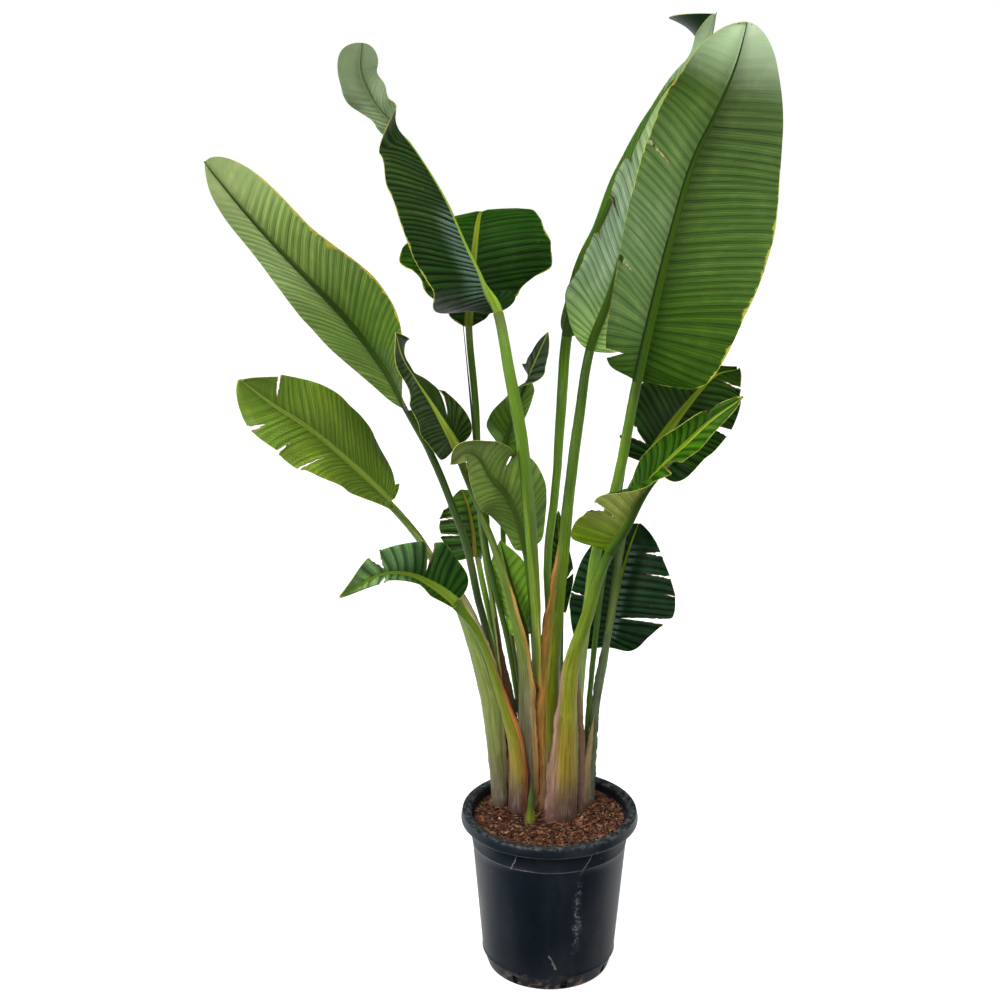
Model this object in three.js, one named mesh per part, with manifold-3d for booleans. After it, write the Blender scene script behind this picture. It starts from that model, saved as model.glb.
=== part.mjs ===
// Potted bird of paradise: a nursery pot, its soil and seventeen long-stalked leaves.
// Units are millimetres. The pot's underside lies at z = 0 round the z axis, and -y is the front.
import * as THREE from 'three';
import { mergeVertices } from 'three/addons/utils/BufferGeometryUtils.js';
import Module from 'manifold-3d';

// Pot
const POT_HEIGHT = 255;
const RIM_RADIUS = 132;
const LIP_RADIUS = 134;
const LIP_DROP = 13;
const WALL_TOP_RADIUS = 119.5;
const BEAD_HEIGHT = 24;
const BEAD_RADIUS = 101.5;
const FOOT_RADIUS = 94;
const WALL = 2.4;
const FLOOR = 4;
const DRAIN_COUNT = 8;
const DRAIN_WIDTH = 9;
const DRAIN_HEIGHT = 18;
const POT_SIDES = 48;

// Soil
const SOIL_TOP = 242;
const SOIL_CROWN = 2.5;
const STALK_SINK = 42;
const HOLE_CLEARANCE = 0.45;
const TOUCH_GAP = 0.3;
const JOINT_GAP = 0.6;

// Leaf blades and stalks
const BLADE_THICKNESS = 1.2;
const EDGE_DROOP = -14;
const WAVE_SHARE = 0.05;
const WAVES = 3;
const STRIP_LIFT = 5;
const OUTLINE = { peak: 0.8, base: 0.62, tip: 0.85, lobe: 0.11, sweep: 1.25, trim: [1, 1] };
const LOBE_LENGTH = 0.25;
const VEIN_CURVE = 1.2;
const ROWS = [0, 0.35, 0.7, 1];
const COLUMN_LENGTH = 34;
const SHEATH = [1, 0.1, 0];
const STALK_STATIONS = 12;
const SECTION_STEPS = 5;
const CURVE_SAMPLES = 40;

// Colours
const POT_BLACK = 0x14191f;
const SOIL_BROWN = 0x6b4030;
const STALK_GREEN = 0x6f9140;
const LEAF_GREEN = 0x3d6b2c;
const LEAF_PALE = 0x6f9463;
const SHOOT_GREEN = 0x2f5a22;

// Each leaf: where its stalk leaves the soil and which way its channel looks there, in degrees from +x;
// half widths of the stalk at the soil, halfway and at the joint, and how far its sheath is open there;
// points of the stalk and of the rib; the side that the blade's upper face looks to, with its turn about
// the rib from joint to tip; what its outline has otherwise than OUTLINE; and for the right and left half
// its width, its folds from joint to tip, and its slits as share along the leaf, inner end as share of the
// vein, and opening. Turns, folds and trims are keys spread evenly from the joint to the tip.
const LEAVES = [
  {
    name: 'leaf_upper_left', base: [-60, 58], channel: 20, widths: [15, 8, 7], wave: 0.012,
    stalk: [[-75, 45, 445], [-105, 35, 575], [-125, 38, 667], [-176, 35, 805]],
    rib: [[-206, 35, 864], [-237, 28, 924], [-282, 10, 991], [-327, -12, 1047], [-376, -30, 1104],
      [-416, -45, 1154], [-465, -60, 1220]],
    upper: 'back', turn: [-40, -15, -15, 20], outline: { base: 0.8, lobe: 0.04, sweep: 1.5 },
    right: { width: 62, fold: [-5, 5, 15], outline: { tip: 0.55, trim: [1, 1, 0.9, 0.85] }, slits: [] },
    left: {
      width: 104, fold: [-30, 5, 0], outline: { peak: 0.75, tip: 0.45, trim: [1, 0.95, 0.84, 0.85] },
      slits: [],
    },
  },
  {
    name: 'leaf_top_left', base: [-14, 48], channel: 0, widths: [18, 12, 7.5], wave: 0.03,
    stalk: [[-15, 30, 495], [-24, 8, 640], [-41, -14, 815], [-62, -22, 930]],
    rib: [[-78, -30, 1015], [-95, -25, 1060], [-120, -18, 1110], [-143, -10, 1160], [-170, 0, 1205],
      [-196, 12, 1240], [-224, 24, 1268], [-248, 32, 1296], [-264, 38, 1332], [-261, 38, 1370]],
    upper: 'front', turn: [-30, 5, 5, 5, 5, 15, 100, 170, 175],
    outline: {
      base: 0.4, tip: 0.45, lobe: 0.05, sweep: 1.4,
      trim: [1, 1.02, 1.03, 0.98, 0.9, 0.72, 0.42, 0.38, 0.8],
    },
    right: {
      width: 88, fold: [-65, -105, -110, -100, -60, 0, 0],
      outline: { trim: [0.8, 1, 1, 0.8, 0.4, 0.3, 0.32, 0.6, 1] }, slits: [],
    },
    left: { width: 98, fold: [-30, 30, 35, 35, 25, 0, 0], slits: [] },
  },
  {
    name: 'leaf_top_centre', base: [-44, 72], channel: 0, widths: [14, 6, 5], wave: 0.02,
    stalk: [[-75, 85, 495], [-95, 85, 620], [-105, 85, 715], [-110, 90, 850]],
    rib: [[-120, 90, 975], [-118, 94, 1015], [-114, 105, 1060], [-110, 125, 1100], [-106, 160, 1124],
      [-102, 210, 1128], [-98, 265, 1118], [-95, 310, 1106]],
    upper: 'front', turn: [-10, -10, -10, 0],
    outline: {
      peak: 0.7, base: 0.6, tip: 0.7, lobe: 0.05,
      trim: [0.2, 0.35, 0.7, 1.05, 1, 0.9, 0.85, 0.8, 0.8, 0.8, 0.8],
    },
    right: { width: 110, fold: [-10, -5, 5, 0], slits: [] },
    left: { width: 122, fold: [-5, -10, -10, -15], slits: [[0.55, 0.7, 0.02]] },
  },
  {
    name: 'leaf_top_right', base: [38, 30], channel: 150, widths: [17, 10, 7], wave: 0.01,
    stalk: [[40, 20, 440], [50, 10, 550], [65, 0, 670], [90, -12, 765]],
    rib: [[115, -30, 920], [135, -45, 1030], [155, -62, 1130], [178, -75, 1222], [206, -95, 1292],
      [224, -107, 1346], [234, -117, 1395]],
    upper: 'back', turn: [-5, -10, -5, 20],
    outline: { peak: 0.85, base: 0.45, tip: 0.5, lobe: 0.08, sweep: 1.2 },
    right: {
      width: 84, fold: [45, 50, 25], outline: { trim: [1, 1, 1, 0.97, 1.1, 1.5] },
      slits: [[0.12, 0.5, 0.03], [0.3, 0.6, 0.02], [0.62, 0.35, 0.01]],
    },
    left: { width: 134, fold: [0, 10, 15], slits: [] },
  },
  {
    name: 'leaf_top_back', base: [12, 74], channel: 180, widths: [15, 9, 8], wave: 0.02,
    stalk: [[-5, 98, 620], [5, 110, 710], [15, 125, 835]],
    rib: [[24, 140, 952], [38, 138, 1020], [68, 135, 1104], [96, 133, 1172], [126, 130, 1228],
      [157, 125, 1280], [190, 120, 1332], [216, 114, 1372], [224, 108, 1411]],
    upper: 'back', turn: [0, -10, -10, 0, 10, 30, 165],
    outline: { base: 0.8, tip: 0.6, lobe: 0.05, sweep: 1.4 },
    right: {
      width: 65, fold: [70, 55, 50, 140],
      outline: { trim: [1, 0.5, 0.25, 0.28, 0.33, 0.45, 1.2] }, slits: [],
    },
    left: {
      width: 90, fold: [15, 20, 10], outline: { trim: [1, 1, 0.8, 0.5, 0.3, 0.55, 3.4] }, slits: [],
    },
  },
  {
    name: 'leaf_top_middle', base: [0, 28], channel: 150, widths: [22, 10, 7], wave: 0.01,
    stalk: [[0, 32, 385], [5, 38, 495], [15, 45, 605], [25, 55, 725], [40, 65, 845]],
    rib: [[55, 75, 943], [80, 72, 1018], [102, 68, 1104], [127, 62, 1200], [150, 58, 1275],
      [163, 55, 1322]],
    upper: 'back', turn: [-40, 30, 35, 25], outline: { base: 0.75, tip: 0.75, lobe: 0.06, sweep: 1.5 },
    right: {
      width: 74, fold: [15, -5, -5],
      slits: [[0.45, 0.7, 0.01], [0.58, 0.35, 0.01], [0.72, 0.7, 0.01]],
    },
    left: { width: 80, fold: [15, 10, 10], slits: [] },
  },
  {
    name: 'leaf_middle_left', base: [-76, 30], channel: 65, widths: [13, 18, 6.5],
    sheath: [1, 0.9, 0], wave: 0.04,
    stalk: [[-78, 30, 295], [-92, 22, 440], [-123, 8, 560], [-152, -8, 625], [-177, -20, 672],
      [-205, -30, 715]],
    rib: [[-230, -35, 745], [-255, -45, 775], [-290, -60, 815], [-335, -85, 865], [-380, -110, 905],
      [-418, -133, 943]],
    upper: 'front', turn: [45, 30, 5, -35], outline: { tip: 0.6, lobe: 0.06, sweep: 1.7 },
    right: { width: 68, fold: [20, 25, -5], slits: [[0.07, 0.35, 0.02], [0.86, 0.25, 0.02]] },
    left: {
      width: 74, fold: [30, 30, 5],
      slits: [[0.56, 0.4, 0.012], [0.7, 0.6, 0.012], [0.82, 0.6, 0.02]],
    },
  },
  {
    name: 'leaf_lower_left', base: [-49, 10], channel: 50, widths: [16, 9, 7], wave: 0.04,
    stalk: [[-50, 0, 340], [-75, -10, 450], [-105, -25, 545]],
    rib: [[-140, -35, 595], [-172, -50, 627], [-205, -75, 652], [-240, -105, 662], [-295, -135, 640]],
    upper: 'front', turn: [30, 10, 0, 5], outline: { lobe: 0.06, sweep: 1.3 },
    right: {
      width: 54, fold: [30, 50, 45], outline: { trim: [1.1, 1.1, 0.9, 0.5] },
      slits: [[0.42, 0.15, 0.05], [0.72, 0.15, 0.05]],
    },
    left: { width: 28, fold: [20, 50, 45], slits: [[0.72, 0.35, 0.03]] },
  },
  {
    name: 'leaf_centre_left', base: [-34, 20], channel: 50, widths: [17, 9, 6.5], wave: 0.03,
    stalk: [[-35, 15, 375], [-40, 13, 490], [-55, 14, 569], [-75, 18, 644], [-100, 22, 712],
      [-124, 22, 775]],
    rib: [[-139, 16, 814], [-154, -4, 850], [-172, -26, 890], [-192, -48, 928], [-207, -76, 962],
      [-214, -100, 1000]],
    upper: 'front', turn: [20, 30, 35, 35], outline: { sweep: 1.5, lobe: 0.08 },
    right: { width: 60, fold: [0, -35, -10], slits: [[0.3, 0.2, 0.06], [0.55, 0.7, 0.02]] },
    left: { width: 54, fold: [20, 15, 30], slits: [] },
  },
  {
    name: 'leaf_centre', base: [-16, 80], channel: 90, widths: [11, 8, 6], wave: 0.03,
    stalk: [[-16, 84, 410], [-24, 80, 540]],
    rib: [[-36, 60, 642], [-59, 22, 729], [-88, -18, 779], [-107, -58, 821], [-123, -76, 830],
      [-143, -82, 814]],
    upper: 'back', turn: [0, -10, 15, 10], outline: { tip: 0.7, sweep: 1.4 },
    right: { width: 42, fold: [45, -28, -30], slits: [] },
    left: { width: 58, fold: [55, 40, 0], slits: [[0.6, 0.35, 0.03]] },
  },
  {
    name: 'leaf_centre_back', base: [-24, 96], channel: 0, widths: [9, 6, 4.5], wave: 0.02,
    stalk: [[-45, 105, 425], [-65, 108, 555], [-70, 108, 680]],
    rib: [[-70, 105, 780], [-55, 105, 840], [-30, 105, 905], [-5, 100, 965]],
    upper: 'back', turn: [-30, 15, 20, 100, 140], outline: { sweep: 1.5 },
    right: { width: 40, fold: [55, -20, 0], slits: [] },
    left: { width: 36, fold: [40, 25, 5], slits: [[0.7, 0.7, 0.03]] },
  },
  {
    name: 'leaf_front_right', base: [23, -16], channel: 120, widths: [20, 13, 8], wave: 0.03,
    stalk: [[25, -20, 410], [30, -30, 505], [50, -35, 575], [68, -39, 645]],
    rib: [[80, -44, 675], [100, -52, 711], [125, -68, 770], [160, -90, 825], [205, -121, 884],
      [245, -145, 922]],
    upper: 'back', turn: [10, 20, 60, 120, 150], outline: { base: 0.4, sweep: 1.4 },
    right: {
      width: 80, fold: [20, 10, 10, 0, -10], outline: { trim: [1, 1, 1.05, 0.75, 0.4, 0.4, 0.5] },
      slits: [[0.26, 0.2, 0.04], [0.6, 0.2, 0.05]],
    },
    left: {
      width: 62, fold: [90, 90, 85, 50, 15], outline: { trim: [0.5, 0.4, 0.4, 0.45, 0.45, 0.5, 0.7] },
      slits: [[0.85, 0.5, 0.03]],
    },
  },
  {
    name: 'leaf_back_right', base: [60, 38], channel: 160, widths: [14, 9, 7], wave: 0.03,
    stalk: [[65, 50, 375], [80, 60, 470], [105, 85, 645], [115, 95, 710]],
    rib: [[143, 105, 765], [180, 120, 820], [222, 140, 868], [250, 165, 888], [288, 200, 890]],
    upper: 'front', turn: [30, 10, -20, -30], outline: { tip: 0.75, sweep: 1.4 },
    right: { width: 76, fold: [30, 0, 0], slits: [[0.5, 0.2, 0.05], [0.8, 0.35, 0.03]] },
    left: { width: 74, fold: [0, 0, -20], slits: [[0.2, 0.2, 0.07], [0.7, 0.6, 0.03]] },
  },
  {
    name: 'leaf_lower_right', base: [62, 66], channel: 180, widths: [7, 5, 4.5], wave: 0.03,
    stalk: [[66, 74, 310], [76, 82, 400]],
    rib: [[87, 92, 480], [98, 98, 535], [110, 106, 590], [123, 118, 632], [137, 140, 662]],
    upper: 'front', turn: [25, 5, 0, -5], outline: { tip: 0.7, sweep: 1.2 },
    right: {
      width: 88, fold: [10, 20, 20], outline: { trim: [0.7, 0.8, 1.05, 1.03, 1, 0.95, 0.9] },
      slits: [[0.3, 0.12, 0.06], [0.52, 0.8, 0.012], [0.66, 0.5, 0.02], [0.8, 0.5, 0.03]],
    },
    left: { width: 80, fold: [15, 35, 15], slits: [[0.4, 0.7, 0.015]] },
  },
  {
    name: 'leaf_back_left', base: [-62, 86], channel: 0, widths: [6, 5, 4.5], wave: 0.03,
    stalk: [[-66, 102, 395], [-90, 122, 515]],
    rib: [[-110, 138, 610], [-115, 145, 650], [-125, 155, 690], [-135, 180, 705]],
    upper: 'front', turn: [-30, -25, -20, 25], outline: { sweep: 1.2 },
    right: { width: 50, fold: [55, 45, 20], slits: [] },
    left: {
      width: 55, fold: [20, 10, 10],
      slits: [[0.35, 0.35, 0.05], [0.6, 0.35, 0.03], [0.78, 0.7, 0.02]],
    },
  },
  {
    name: 'leaf_centre_low', base: [-38, 42], channel: 60, widths: [8, 5, 4], wave: 0.02,
    stalk: [[-37, 60, 405]],
    rib: [[-35, 70, 505], [-50, 70, 560], [-65, 75, 615], [-75, 75, 655]],
    upper: 'back', turn: [25, 10, 5, 10], outline: { sweep: 1.5 },
    right: { width: 39, fold: [55, 50, 0], slits: [] },
    left: { width: 39, fold: [55, 50, 5], slits: [] },
  },
  {
    name: 'leaf_back_low', base: [34, 76], channel: 180, widths: [6, 5, 4], wave: 0.03,
    stalk: [[20, 110, 415]],
    rib: [[20, 135, 525], [20, 140, 585], [15, 150, 640], [15, 165, 675]],
    upper: 'front', turn: [-15, -5, -15, -15], outline: { sweep: 1.4 },
    right: { width: 26, fold: [50, 50, 45], slits: [[0.4, 0.35, 0.05]] },
    left: { width: 26, fold: [55, 50, 45], slits: [] },
  },
];

// Young leaves still rolled up: half widths at soil, middle and tip, and their points
const SPEARS = [
  {
    name: 'spear_left', channel: 0, widths: [3.5, 3, 0.8],
    points: [[-30, 68, 242], [-60, 72, 480], [-95, 73, 640], [-116, 76, 850], [-128, 76, 980]],
  },
  {
    name: 'spear_right', channel: 180, widths: [3.5, 3.5, 0.8],
    points: [[52, 46, 242], [62, 40, 440], [76, 36, 600], [104, 20, 780], [114, 12, 895]],
  },
  {
    name: 'young_shoot', channel: 90, widths: [8, 5, 1],
    points: [[-30, -34, 242], [-29, -30, 275], [-27, -22, 312]],
  },
];

const group = new THREE.Group();
const radians = THREE.MathUtils.degToRad;
const wasm = await Module();
wasm.setup();

// Eased value at x between keys spread evenly from 0 to 1
function keyed(x, values) {
  const place = Math.min(Math.max(x, 0), 1) * (values.length - 1);
  const first = Math.min(Math.floor(place), values.length - 2);
  const share = place - first;
  const eased = share * share * (3 - 2 * share);
  return values[first] * (1 - eased) + values[first + 1] * eased;
}

// A smooth line read by its share of length, with the share at which each of its points lies
function smoothLine(points) {
  const places = points.map((point) => new THREE.Vector3(...point));
  const curve = new THREE.CatmullRomCurve3(places, false, 'centripetal');
  curve.arcLengthDivisions = CURVE_SAMPLES * (points.length - 1);
  const lengths = curve.getLengths();
  const total = lengths[lengths.length - 1];
  const shareOf = (index) => lengths[index * CURVE_SAMPLES] / total;
  return { curve, total, shareOf };
}

// Direction of the upper side at a share of the line, turned by an angle about the line
function across(tangent, reference, angle) {
  const normal = reference.clone().addScaledVector(tangent, -reference.dot(tangent)).normalize();
  const side = new THREE.Vector3().crossVectors(tangent, normal);
  return normal.multiplyScalar(Math.cos(angle)).addScaledVector(side, Math.sin(angle));
}

function leafLine(leaf) {
  const [x, y] = leaf.base;
  const start = [[x, y, SOIL_TOP - STALK_SINK], [x, y, SOIL_TOP]];
  const line = smoothLine([...start, ...leaf.stalk, ...leaf.rib]);
  line.joint = line.shareOf(start.length + leaf.stalk.length);
  line.soil = line.shareOf(1);
  return line;
}

// Frame of the blade at x, from 0 at the joint to 1 at the tip, going on straight past both
function bladeFrame(leaf, line, x) {
  const inside = Math.min(Math.max(x, 0), 1);
  const share = line.joint + (1 - line.joint) * inside;
  const tangent = line.curve.getTangentAt(share);
  const point = line.curve.getPointAt(share);
  point.addScaledVector(tangent, (x - inside) * line.total * (1 - line.joint));
  const toward = leaf.upper === 'front' ? -0.85 : 0.85;
  const normal = across(tangent, new THREE.Vector3(0, toward, 0.5), radians(keyed(inside, leaf.turn)));
  return { point, tangent, normal, side: new THREE.Vector3().crossVectors(tangent, normal) };
}

// Width of a half's outline as a share of its full width, at vein v
function outlineWidth({ peak, base, tip, trim }, v) {
  const round = Math.max(Math.sin(Math.PI * v ** peak), 0);
  return keyed(v, trim) * round ** (base + (tip - base) * v);
}

// Place of the flat leaf's point (x along the rib, y across) on the folded, drooping, waved half
function placeOnBlade(leaf, line, x, y, half, sign) {
  const { point, normal, side } = bladeFrame(leaf, line, x);
  const fold = radians(keyed(x, half.fold));
  const bend = radians(EDGE_DROOP) / half.width;
  const out = (Math.sin(fold + bend * y) - Math.sin(fold)) / bend;
  const height = (leaf.wave ?? WAVE_SHARE) * half.width;
  const wave = height * (y / half.width) ** 2 * Math.sin(2 * Math.PI * WAVES * x + sign);
  const up = (Math.cos(fold) - Math.cos(fold + bend * y)) / bend + wave;
  return { point: point.addScaledVector(side, sign * out).addScaledVector(normal, up), normal };
}

// Veins that both halves share: evenly spaced ones, and one at each slit of either half
function veinsOf(leaf, count) {
  const slits = [...leaf.right.slits, ...leaf.left.slits].map(([v]) => v);
  const even = Array.from({ length: count + 1 }, (_, k) => k / count);
  const free = even.filter((v) => slits.every((slit) => Math.abs(slit - v) > 0.35 / count));
  return [...new Set([...free, ...slits])].sort((a, b) => a - b);
}

// Columns of a half: one at each vein, and a pair at each of its slits
function columnsOf(half, veins) {
  return veins.flatMap((v) => {
    const found = half.slits.find((slit) => slit[0] === v);
    if (!found) return [{ v }];
    const slit = { inner: found[1], opening: found[2] };
    return [{ v, slit, part: -1 }, { v, slit, part: 1 }];
  });
}

// Lift of the strips between slits, alternately up and down
function stripLift(columns, index, row) {
  const before = columns.slice(0, index + 1).reverse().find((c) => c.slit && c.part === 1)?.slit;
  const after = columns.slice(index).find((c) => c.slit && c.part === -1)?.slit;
  if (!before && !after) return 0;
  const inner = Math.max(before?.inner ?? 0, after?.inner ?? 0);
  const share = Math.max(0, (row - inner) / (1 - inner));
  const order = columns.slice(0, index + 1).filter((c) => c.part === 1).length;
  return STRIP_LIFT * share * share * (order % 2 ? -1 : 1);
}

// A closed sheet of even thickness from a grid of points, its triangles alike on both faces
function sheetSolid(points, tops, bottoms, faces) {
  const normals = points.map(() => new THREE.Vector3());
  const edgeA = new THREE.Vector3();
  const edgeB = new THREE.Vector3();
  for (const [a, b, c] of faces) {
    edgeA.subVectors(points[b], points[a]);
    edgeB.subVectors(points[c], points[a]);
    const normal = edgeA.clone().cross(edgeB);
    for (const corner of [a, b, c]) normals[corner].add(normal);
  }
  const count = points.length;
  const position = new Float32Array(6 * count);
  points.forEach((point, k) => {
    normals[k].normalize();
    point.clone().addScaledVector(normals[k], tops[k]).toArray(position, 3 * k);
    point.clone().addScaledVector(normals[k], -bottoms[k]).toArray(position, 3 * (count + k));
  });
  const used = new Map();
  for (const face of faces) {
    for (let k = 0; k < 3; k += 1) {
      const [from, to] = [face[k], face[(k + 1) % 3]];
      used.set(`${from}_${to}`, [from, to]);
    }
  }
  const index = [];
  for (const [a, b, c] of faces) index.push(a, b, c, count + a, count + c, count + b);
  for (const [a, b] of used.values()) {
    if (!used.has(`${b}_${a}`)) index.push(a, count + a, count + b, a, count + b, b);
  }
  const geometry = new THREE.BufferGeometry();
  geometry.setAttribute('position', new THREE.BufferAttribute(position, 3));
  geometry.setIndex(index);
  return geometry;
}

function bladeGeometry(leaf) {
  const line = leafLine(leaf);
  const length = line.total * (1 - line.joint);
  const count = Math.min(Math.max(Math.round(length / COLUMN_LENGTH), 6), 14);
  const veins = veinsOf(leaf, count);
  const ribWidth = leaf.widths[2];
  const shape = { ...OUTLINE, ...leaf.outline };
  const points = [];
  const tops = [];
  const bottoms = [];
  const faces = [];
  const half = BLADE_THICKNESS / 2;
  const addPoint = (point, top, bottom) => {
    points.push(point);
    tops.push(top);
    bottoms.push(bottom);
    return points.length - 1;
  };
  const ribAt = (x) => 0.8 + (ribWidth - 0.8) * (1 - x) ** 0.8;
  const centre = new Map();
  const centreAt = (v) => {
    const x = v ** shape.sweep;
    if (!centre.has(v)) centre.set(v, addPoint(bladeFrame(leaf, line, x).point, half, half + ribAt(x)));
    return centre.get(v);
  };
  for (const [data, sign] of [[leaf.right, 1], [leaf.left, -1]]) {
    const form = { ...shape, ...data.outline };
    const columns = columnsOf(data, veins);
    const ids = [];
    columns.forEach((column, c) => {
      const ends = c === 0 || c === columns.length - 1;
      ids.push(ROWS.map((row, r) => {
        if (r > 0 && ends) return ids[c]?.[0] ?? -1;
        const inner = column.slit?.inner ?? 1;
        if (column.part === 1 && row <= inner) return ids[c - 1][r];
        const open = column.slit ? Math.max(0, (row - inner) / (1 - inner)) : 0;
        const v = column.v + (column.part ?? 0) * (column.slit?.opening ?? 0) * open / 2;
        const root = v ** shape.sweep;
        const keel = ribAt(root);
        const width = Math.max(data.width * outlineWidth(form, v), keel);
        const edge = v - form.lobe * Math.sin(Math.PI * Math.min(v / LOBE_LENGTH, 1));
        const x = root + (edge - root) * (1 - (1 - row) ** VEIN_CURVE);
        const y = keel + (width - keel) * row;
        const { point, normal } = placeOnBlade(leaf, line, x, y, data, sign);
        point.addScaledVector(normal, stripLift(columns, c, row));
        return addPoint(point, half, half);
      }));
      if (ends) ids[c].fill(ids[c][0]);
    });
    const addQuad = (a, b, c, d) => {
      for (const face of [[a, b, c], [a, c, d]]) {
        if (new Set(face).size === 3) faces.push(sign > 0 ? face : [face[0], face[2], face[1]]);
      }
    };
    for (let c = 0; c + 1 < columns.length; c += 1) {
      const slitPair = columns[c].part === -1;
      if (!slitPair) addQuad(centreAt(columns[c].v), ids[c][0], ids[c + 1][0], centreAt(columns[c + 1].v));
      for (let r = 0; r + 1 < ROWS.length; r += 1) {
        if (!slitPair) addQuad(ids[c][r], ids[c][r + 1], ids[c + 1][r + 1], ids[c + 1][r]);
      }
    }
  }
  return sheetSolid(points, tops, bottoms, faces);
}

// Stalk section: its back from margin to margin, then the channel or crown; grow moves it all outward
function sectionOutline(width, depth, crown, grow) {
  const lower = [];
  const upper = [];
  for (let k = 0; k <= SECTION_STEPS; k += 1) {
    const angle = Math.PI * (k / SECTION_STEPS - 0.5);
    lower.push(new THREE.Vector2(width * Math.sin(angle), -depth * Math.cos(angle)));
    upper.push(new THREE.Vector2(width * Math.sin(angle), crown * Math.cos(angle)));
  }
  const outline = [...lower, ...upper.slice(1, -1).reverse()];
  return outline.map((point, k) => {
    const before = point.clone().sub(outline.at(k - 1)).normalize();
    const after = outline[(k + 1) % outline.length].clone().sub(point).normalize();
    const away = new THREE.Vector2(before.y + after.y, -before.x - after.x).normalize();
    const reach = Math.max(away.x * after.y - away.y * after.x, 0.5);
    return point.clone().addScaledVector(away, grow / reach);
  });
}

// A closed loft of stalk sections; grow widens it to cut its hole in the soil
function stalkSolid(line, shares, { widthAt, depthAt, crownAt, normalAt }, grow) {
  const position = [];
  const index = [];
  const ring = 2 * SECTION_STEPS;
  const stations = shares.length - 1;
  for (const share of shares) {
    const point = line.curve.getPointAt(share);
    const tangent = line.curve.getTangentAt(share);
    const normal = normalAt(share, tangent);
    const side = new THREE.Vector3().crossVectors(tangent, normal);
    for (const { x, y } of sectionOutline(widthAt(share), depthAt(share), crownAt(share), grow)) {
      position.push(...point.clone().addScaledVector(side, x).addScaledVector(normal, y).toArray());
    }
  }
  for (let s = 0; s < stations; s += 1) {
    for (let k = 0; k < ring; k += 1) {
      const a = s * ring + k;
      const b = s * ring + (k + 1) % ring;
      index.push(a, b + ring, b, a, a + ring, b + ring);
    }
  }
  const last = stations * ring;
  for (let k = 0; k < SECTION_STEPS; k += 1) {
    const [a, b] = [k, k + 1];
    const [c, d] = [(ring - k - 1) % ring, (ring - k) % ring];
    for (const [p, q, r] of [[a, c, b], [a, d, c]]) {
      if (p === q || q === r || p === r) continue;
      index.push(p, r, q, last + p, last + q, last + r);
    }
  }
  const geometry = new THREE.BufferGeometry();
  geometry.setAttribute('position', new THREE.BufferAttribute(new Float32Array(position), 3));
  geometry.setIndex(index);
  return geometry;
}

// Width, depth and crown of a stalk along its share from soil to joint
function stalkShape(leaf, line) {
  const [atSoil, atSheath, atJoint] = leaf.widths;
  const along = (share) => (share - line.soil) / (line.joint - line.soil);
  const widthAt = (share) => keyed(along(share), [atSoil, atSheath, atJoint]);
  const sheathAt = (share) => keyed(along(share), leaf.sheath ?? SHEATH);
  const depthAt = (share) => widthAt(share) * (0.95 - 0.35 * sheathAt(share));
  const crownAt = (share) => {
    const solid = 0.45 * widthAt(share);
    const shell = -(depthAt(share) - Math.max(0.28 * widthAt(share), 4));
    return solid + (shell - solid) * sheathAt(share);
  };
  const channel = new THREE.Vector3(Math.cos(radians(leaf.channel)), Math.sin(radians(leaf.channel)), 0);
  const jointTangent = line.curve.getTangentAt(line.joint);
  const jointNormal = leaf.rib ? bladeFrame(leaf, line, 0).normal : channel;
  const flat = across(jointTangent, channel, 0);
  const side = new THREE.Vector3().crossVectors(jointTangent, flat);
  const turn = Math.atan2(jointNormal.dot(side), jointNormal.dot(flat));
  const normalAt = (share, tangent) => across(tangent, channel, turn * keyed(along(share), [0, 0, 0.3, 1]));
  return { widthAt, depthAt, crownAt, normalAt };
}

// Shares of the line where a stalk's sections stand: its sunk end, the soil line, then on to the joint
function stationShares(leaf, line) {
  const end = line.joint - (leaf.rib ? JOINT_GAP / line.total : 0);
  const above = Array.from({ length: STALK_STATIONS }, (_, k) => k / (STALK_STATIONS - 1));
  return [0, ...above.map((share) => line.soil + (end - line.soil) * share)];
}

function stalkGeometry(leaf, line) {
  return stalkSolid(line, stationShares(leaf, line), stalkShape(leaf, line), 0);
}

// The plain hole that a stalk stands in: its sunk stretch, a little wider and deeper
function holeGeometry(leaf, line) {
  const shares = stationShares(leaf, line).slice(0, 3);
  const hole = stalkSolid(line, shares, stalkShape(leaf, line), HOLE_CLEARANCE);
  const position = hole.getAttribute('position');
  for (let k = 0; k < position.count; k += 1) {
    if (position.getZ(k) < SOIL_TOP - STALK_SINK + 1) position.setZ(k, position.getZ(k) - TOUCH_GAP);
  }
  return hole;
}

function toManifold(geometry) {
  const bare = geometry.clone();
  bare.deleteAttribute('normal');
  bare.deleteAttribute('uv');
  const merged = mergeVertices(bare, 1e-4);
  const vertProperties = new Float32Array(merged.getAttribute('position').array);
  const triVerts = new Uint32Array(merged.index.array);
  return new wasm.Manifold(new wasm.Mesh({ numProp: 3, vertProperties, triVerts }));
}

function fromManifold(solid) {
  const mesh = solid.getMesh();
  const geometry = new THREE.BufferGeometry();
  geometry.setAttribute('position', new THREE.BufferAttribute(new Float32Array(mesh.vertProperties), 3));
  geometry.setIndex(new THREE.BufferAttribute(new Uint32Array(mesh.triVerts), 1));
  return geometry;
}

function lathe(profile) {
  const points = profile.map(([r, z]) => new THREE.Vector2(r, z));
  return new THREE.LatheGeometry(points, POT_SIDES).rotateX(Math.PI / 2);
}

// Radius of the pot's outer wall at a height
function wallRadius(z) {
  const top = POT_HEIGHT - LIP_DROP - 4;
  return BEAD_RADIUS + (WALL_TOP_RADIUS - BEAD_RADIUS) * (z - BEAD_HEIGHT) / (top - BEAD_HEIGHT);
}

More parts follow.
